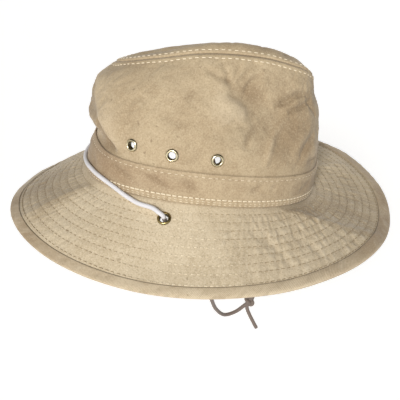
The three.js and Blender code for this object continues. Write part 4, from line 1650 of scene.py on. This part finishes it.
@dataclass
class MetalRing:
    """A ring that grips the cloth between a rolled rim and a flat washer."""

    name: str
    node: str
    finish: AgedBrass
    bore: float
    flange: float
    cloth: float
    segments: int = 48

    def profile(self) -> Array:
        """Returns the ring's section as radius and height, from the bore round and back."""
        rim, wide = self.bore, self.flange
        deep = -self.cloth
        span = wide - rim
        return np.array([
            (rim, deep - 0.9), (rim, 0.6), (rim + 0.05, 1.15), (rim + 0.16 * span, 1.6),
            (rim + 0.36 * span, 1.84), (rim + 0.58 * span, 1.78), (rim + 0.8 * span, 1.42),
            (wide - 0.05, 1.0), (wide, 0.7), (wide - 0.12, 0.5), (wide - 0.4, 0.5),
            (rim + 0.6, 0.62), (rim + 0.6, deep - 0.62), (wide - 0.8, deep - 0.6),
            (wide - 0.6, deep - 0.75),
            (wide - 0.7, deep - 1.05), (rim + 0.9, deep - 1.25), (rim + 0.2, deep - 1.15),
        ])

    def build(self, place: Matrix) -> bpy.types.Object:
        """Makes the ring at its seat.

        Args:
            place: Turns +Z to the ring's axis and moves the origin to its seat, in millimetres.

        Returns:
            The object.
        """
        profile = self.profile()
        turn = even_turn(self.segments)
        x = profile[:, :1] * np.cos(turn)
        y = profile[:, :1] * np.sin(turn)
        z = np.broadcast_to(profile[:, 1:], x.shape)
        placed = np.array(place)
        points = np.stack([x, y, z], -1) @ placed[:3, :3].T + placed[:3, 3]
        # Painted shade on the bore and on the low parts beside the cloth.
        painted_shade_part = (profile[:, 1] < 1.2) | (profile[:, 0] < self.bore + 0.25)
        hollow_shade = np.where(painted_shade_part, -1.0, 0.6)[:, None] * np.ones_like(x)
        corners, _, _ = grid_faces(*x.shape, True)
        skin = Skin(points.reshape(-1, 3), [corners], {"fold": hollow_shade.ravel()})
        piece = skin.build(self.name, self.finish.material())
        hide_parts(self.node)
        return piece


def seat_matrix(surface: Callable[[float], Array]) -> Matrix:
    """Places +Z along a surface's outward direction.

    Args:
        surface: Gives the surface's point at a lift in millimetres.

    Returns:
        The matrix, in millimetres.
    """
    point = surface(0.0)
    up = unit(surface(1.0) - point)
    side = unit(np.cross(up, (0.0, 0.0, 1.0) if abs(up[2]) < 0.9 else (1.0, 0.0, 0.0)))
    return axes_matrix(side, np.cross(up, side), up, point)


@dataclass
class RingSet:
    """All the vent rings and the two cord grommets."""

    form: HatForm
    crown: Crown
    brim: Brim
    vent_bore: float = 2.9
    vent_flange: float = 5.0
    cord_bore: float = 3.3
    cord_flange: float = 5.4

    def build(self) -> list[bpy.types.Object]:
        """Returns the rings, each in place of its node."""
        made = []
        for name, seat in self.crown.eyelets().items():
            angle = np.array(math.radians(seat.angle))
            place = (seat.along - self.form.seam_height(angle)) / self.form.wall_height(angle)
            matrix = seat_matrix(lambda lift: self.form.beside_crown(angle, place, lift))
            ring = MetalRing(f"vent_ring_{name}", f"vent_eyelet_{name}", RING_BRASS,
                             self.vent_bore, self.vent_flange, self.form.crown_cloth)
            made.append(ring.build(matrix))
        for side, seat in zip(("right", "left"), self.brim.seats()):
            angle, along = np.array(math.radians(seat.angle)), np.array(seat.along)
            matrix = seat_matrix(lambda lift: self.form.brim(angle, along,
                lift - self.form.sewn_gap / 2))
            ring = MetalRing(f"grommet_ring_{side}", f"cord_grommet_{side}", GROMMET_BRASS,
                             self.cord_bore, self.cord_flange, self.form.brim_cloth)
            made.append(ring.build(matrix))
        return made


# The cord

def smooth_route(route: Sequence[Sequence[float]], step: float) -> Array:
    """Goes smoothly through chosen points.

    Args:
        route: The points, in millimetres.
        step: The distance between the points of the result.

    Returns:
        Evenly spaced points.
    """
    given = np.array(route, float)
    given = np.concatenate([[2 * given[0] - given[1]], given, [2 * given[-1] - given[-2]]])
    fine = []
    for k in range(1, len(given) - 2):
        p = given[k - 1:k + 3]
        t = np.concatenate([[0], np.cumsum(np.sqrt(np.linalg.norm(np.diff(p, axis=0), axis=1)))])
        s = np.linspace(t[1], t[2], 24, endpoint=False)[:, None]
        a = [((t[i + 1] - s) * p[i] + (s - t[i]) * p[i + 1]) / (t[i + 1] - t[i]) for i in range(3)]
        b = [((t[i + 2] - s) * a[i] + (s - t[i]) * a[i + 1]) / (t[i + 2] - t[i]) for i in range(2)]
        fine.append(((t[2] - s) * b[0] + (s - t[1]) * b[1]) / (t[2] - t[1]))
    dense = np.concatenate([*fine, given[-2:-1]])
    run = run_along(dense)
    even = np.linspace(0, run[-1], int(round(run[-1] / step)) + 1)
    return walk(dense, run, even)


def tube(path: Array, radius: Array, sides: int) -> Skin:
    """Lays a round tube along a path.

    Args:
        path: Points along its middle.
        radius: Its radius at each point.
        sides: How many points go round it.

    Returns:
        The closed tube.
    """
    way = unit(np.gradient(path, axis=0))
    side = unit(np.cross(way[0], (0.3, 0.2, 0.93)))
    turn = even_turn(sides)
    rings = []
    for point, ahead, wide in zip(path, way, radius):
        side = unit(side - ahead * (side @ ahead))
        other = np.cross(ahead, side)
        rings.append(point + wide * (np.cos(turn)[:, None] * side + np.sin(turn)[:, None] * other))
    points = np.concatenate([np.stack(rings).reshape(-1, 3), path[[0, -1]]])
    corners, row, col = grid_faces(len(path), sides, False)
    run = run_along(path) * MM
    places = np.stack(np.meshgrid(np.arange(sides + 1) / sides, run), -1)
    a, b = np.arange(sides), (np.arange(sides) + 1) % sides
    first, last = len(path) * sides, (len(path) - 1) * sides
    caps = np.concatenate([np.stack([b, a, np.full(sides, first)], 1),
                           np.stack([last + a, last + b, np.full(sides, first + 1)], 1)])
    return Skin(points, [corners, caps], {}, [grid_cloth(places, row, col),
                                              np.zeros((2 * sides, 3, 2))])


@dataclass
class Cordage:
    """The cord: white over the brim and round the crown, taupe below, with its knot."""

    diameter: float = 3.6
    sides: int = 16
    step: float = 1.2
    end_gap: float = 0.4
    over_brim: tuple[tuple[float, float, float], ...] = (
        (-9.7, -103.5, -3.4), (-10.6, -104.9, -0.6), (-14.0, -105.0, 1.4),
        (-17.7, -103.4, 2.6), (-22.1, -101.3, 2.6), (-27.2, -99.4, 2.0),
        (-32.8, -97.2, 1.8), (-44.5, -91.8, 3.6), (-54.5, -86.6, 6.0),
        (-63.9, -80.6, 7.4), (-74.0, -72.6, 8.2), (-84.3, -60.1, 7.9),
        (-89.4, -50.2, 6.0), (-95.2, -36.9, 3.8), (-100.2, -18.9, 2.2),
        (-101.9, 0.0, 1.8), (-100.3, 19.0, 2.8), (-96.0, 37.0, 5.0),
        (-88.4, 53.6, 8.0), (-80.2, 65.1, 10.6), (-70.6, 75.1, 12.3),
        (-58.4, 84.2, 12.6), (-44.7, 90.7, 11.5), (-34.5, 94.6, 10.4),
        (-26.5, 99.0, 9.4), (-19.5, 103.2, 8.0), (-14.2, 105.8, 5.8),
        (-11.0, 106.1, 3.2), (-9.9, 105.4, 0.2),
    )
    right_side: tuple[tuple[float, float, float], ...] = (
        (-9.7, -103.5, -3.4), (-8.9, -99.4, -8.5), (-5.0, -93.0, -20.0),
        (7.0, -78.0, -48.0), (18.4, -58.0, -81.0), (29.6, -38.0, -113.0),
        (35.2, -26.0, -132.4), (44.0, -14.0, -145.6), (53.4, -7.0, -144.4), (60.6, -2.6, -138.4),
        (64.4, -0.8, -134.4),
    )
    left_side: tuple[tuple[float, float, float], ...] = (
        (-9.9, 105.4, 0.2), (-9.2, 103.2, -5.9), (-5.0, 98.5, -20.0),
        (9.0, 84.0, -49.0), (25.0, 61.0, -82.0), (43.0, 35.0, -110.0), (57.0, 13.0, -127.6),
        (62.9, 3.5, -132.2), (64.0, 0.8, -134.8), (63.0, 0.4, -139.0),
        (64.0, 0.0, -143.8), (68.0, -1.0, -150.4), (72.4, -1.8, -156.8), (76.2, -2.0, -162.4),
    )
    knot_middle: tuple[float, float, float] = (65.0, 0.0, -133.4)
    knot_size: float = 1.4
    knot_thickness: float = 3.6

    def lay(self, name: str, route: Sequence[Sequence[float]], trims: tuple[float, float],
            finish: BraidedCord) -> tuple[bpy.types.Object, Array, float]:
        """Lays one stretch of cord.

        Args:
            name: The piece's name.
            route: The points that it goes through.
            trims: What is left off at the two ends.
            finish: Its cover.

        Returns:
            The object, its path in metres and its length in metres.
        """
        path = smooth_route(route, 0.4)
        run = run_along(path)
        length = run[-1] - sum(trims)
        even = trims[0] + np.linspace(0, length, int(round(length / self.step)) + 1)
        path = walk(path, run, even)
        skin = tube(path, np.full(len(path), self.diameter / 2), self.sides)
        piece = skin.build(name, finish.material())
        return piece, path * MM, length * MM

    def build(self) -> list[bpy.types.Object]:
        """Returns the three stretches of cord and the knot."""
        knot = self.build_knot()
        gap = self.end_gap
        white, white_path, white_length = self.lay("white_cord_round_crown", self.over_brim,
                                                   (gap, gap), WHITE_CORD)
        right, right_path, right_length = self.lay("chin_cord_right_side", self.right_side,
                                                   (gap, 0), TAUPE_CORD)
        left, left_path, left_length = self.lay("chin_cord_left_and_tail", self.left_side, (gap, 0),
                                                TAUPE_CORD)
        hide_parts("cord_over_brim")
        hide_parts("chin_cord_right")
        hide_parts("chin_cord_left", "chin_cord_tail")
        LOG.info("cord lengths in mm: white %.1f, right %.1f, left and tail %.1f",
                 white_length / MM, right_length / MM, left_length / MM)
        return [white, right, left, knot]

    def build_knot(self) -> bpy.types.Object:
        """Returns the overhand knot that joins the two sides."""
        t = TURN * np.arange(97) / 96
        curl = np.stack([np.sin(t) + 2 * np.sin(2 * t), np.cos(t) - 2 * np.cos(2 * t),
                         -1.5 * np.sin(3 * t)], 1)
        tilt = np.array(Matrix.Rotation(math.radians(75), 3, (0.85, 0.2, 0.45)))
        path = curl * self.knot_size @ tilt.T + self.knot_middle
        piece = tube(path, np.full(len(path), self.knot_thickness / 2), 12).build(
            "chin_cord_knot", TAUPE_CORD.material())
        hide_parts("chin_knot")
        return piece


# The studio

class Lamp(NamedTuple):
    """A soft far lamp: its direction in degrees, its strength and how wide it looks in radians."""

    name: str
    azimuth: float
    elevation: float
    strength: float
    softness: float


@dataclass(frozen=True)
class Studio:
    """The camera at the hat's right side, soft light and a pale floor."""

    azimuth: float = 6.85
    elevation: float = 26.51
    roll: float = 7.5
    distance: float = 562.7
    focal_pixels: float = 627.28
    image_pixels: float = 400.0
    across: float = -0.88
    upward: float = -31.54
    floor_height: float = -0.30
    floor_half: float = 20.0
    lamp_colour: Colour = (1.0, 0.985, 0.96)
    sky_from: float = 0.1
    sky_to: float = 0.5
    sky_low: float = 0.7
    sky_high: float = 0.06
    lamps: tuple[Lamp, ...] = (
        Lamp("front_lamp", -6.0, 25.0, 3.4, 0.3),
        Lamp("rear_lamp", 170.0, 12.0, 1.6, 0.6),
    )

    def camera_axes(self) -> tuple[Array, Array, Array]:
        """Returns the camera's right, up and backward directions."""
        az, roll = math.radians(self.azimuth), math.radians(self.roll)
        back = toward(self.azimuth, self.elevation)
        right = np.array([math.cos(az), math.sin(az), 0.0])
        up = np.cross(back, right)
        return (math.cos(roll) * right + math.sin(roll) * up,
                math.cos(roll) * up - math.sin(roll) * right, back)

    def build_camera(self) -> None:
        """Makes the camera and lets the scene use it."""
        right, up, back = self.camera_axes()
        place = (right * self.across + up * self.upward + back * self.distance) * MM
        lens = bpy.data.cameras.new("camera")
        lens.sensor_width = 36.0
        lens.lens = self.focal_pixels * lens.sensor_width / self.image_pixels
        lens.clip_start, lens.clip_end = 0.02, 50.0
        camera = bpy.data.objects.new("camera", lens)
        camera.matrix_world = axes_matrix(right, up, back, place)
        bpy.context.scene.collection.objects.link(camera)
        bpy.context.scene.camera = camera

    def build_lamp(self, lamp: Lamp) -> None:
        """Makes one soft far lamp that faces the hat."""
        back = toward(lamp.azimuth, lamp.elevation)
        right = unit(np.cross((0.0, 0.0, 1.0), back))
        light = bpy.data.lights.new(lamp.name, "SUN")
        light.energy, light.angle, light.color = lamp.strength, lamp.softness, self.lamp_colour
        made = bpy.data.objects.new(lamp.name, light)
        made.matrix_world = axes_matrix(right, np.cross(back, right), back, back)
        bpy.context.scene.collection.objects.link(made)

    def build(self) -> None:
        """Makes the lamps, the sky and the floor."""
        for lamp in self.lamps:
            self.build_lamp(lamp)
        bpy.context.scene.view_settings.view_transform = "Standard"
        world = bpy.data.worlds.new("studio")
        world.use_nodes = True
        nodes, links = world.node_tree.nodes, world.node_tree.links
        way, split, fade = (nodes.new(f"ShaderNode{kind}") for kind in ("TexCoord", "SeparateXYZ",
            "MapRange"))
        fade.interpolation_type = "SMOOTHSTEP"
        ends = {"From Min": self.sky_from, "From Max": self.sky_to,
                "To Min": self.sky_low, "To Max": self.sky_high}
        for name, value in ends.items():
            fade.inputs[name].default_value = value
        links.new(way.outputs["Generated"], split.inputs[0])
        links.new(split.outputs["Z"], fade.inputs["Value"])
        nodes["Background"].inputs["Color"].default_value = (1.0, 1.0, 1.0, 1.0)
        links.new(fade.outputs["Result"], nodes["Background"].inputs["Strength"])
        bpy.context.scene.world = world
        half, low = self.floor_half, self.floor_height
        corners = [(-half, -half, low), (half, -half, low), (half, half, low), (-half, half, low)]
        mesh = bpy.data.meshes.new("floor")
        mesh.from_pydata(corners, [], [(0, 1, 2, 3)])
        mesh.materials.append(PALE_FLOOR.material())
        floor = bpy.data.objects.new("floor", mesh)
        bpy.context.scene.collection.objects.link(floor)


def main() -> None:
    """Builds the hat piece by piece and reports each one."""
    logging.basicConfig(level=logging.INFO, format="%(name)s: %(message)s")
    studio = Studio()
    studio.build_camera()
    crown, band, brim = Crown(FORM), Hatband(FORM), Brim(FORM)
    pieces = Cordage().build()
    pieces += [crown.build_wall(), crown.build_tip(), crown.build_stitching()]
    pieces += [band.build(), band.build_stitching()]
    pieces += [brim.build(), brim.build_binding(), brim.build_stitching()]
    pieces += RingSet(FORM, crown, brim).build()
    studio.build()
    for piece in pieces:
        LOG.info("%s: %d faces", piece.name, len(piece.data.polygons))


if __name__ == "__main__":
    main()
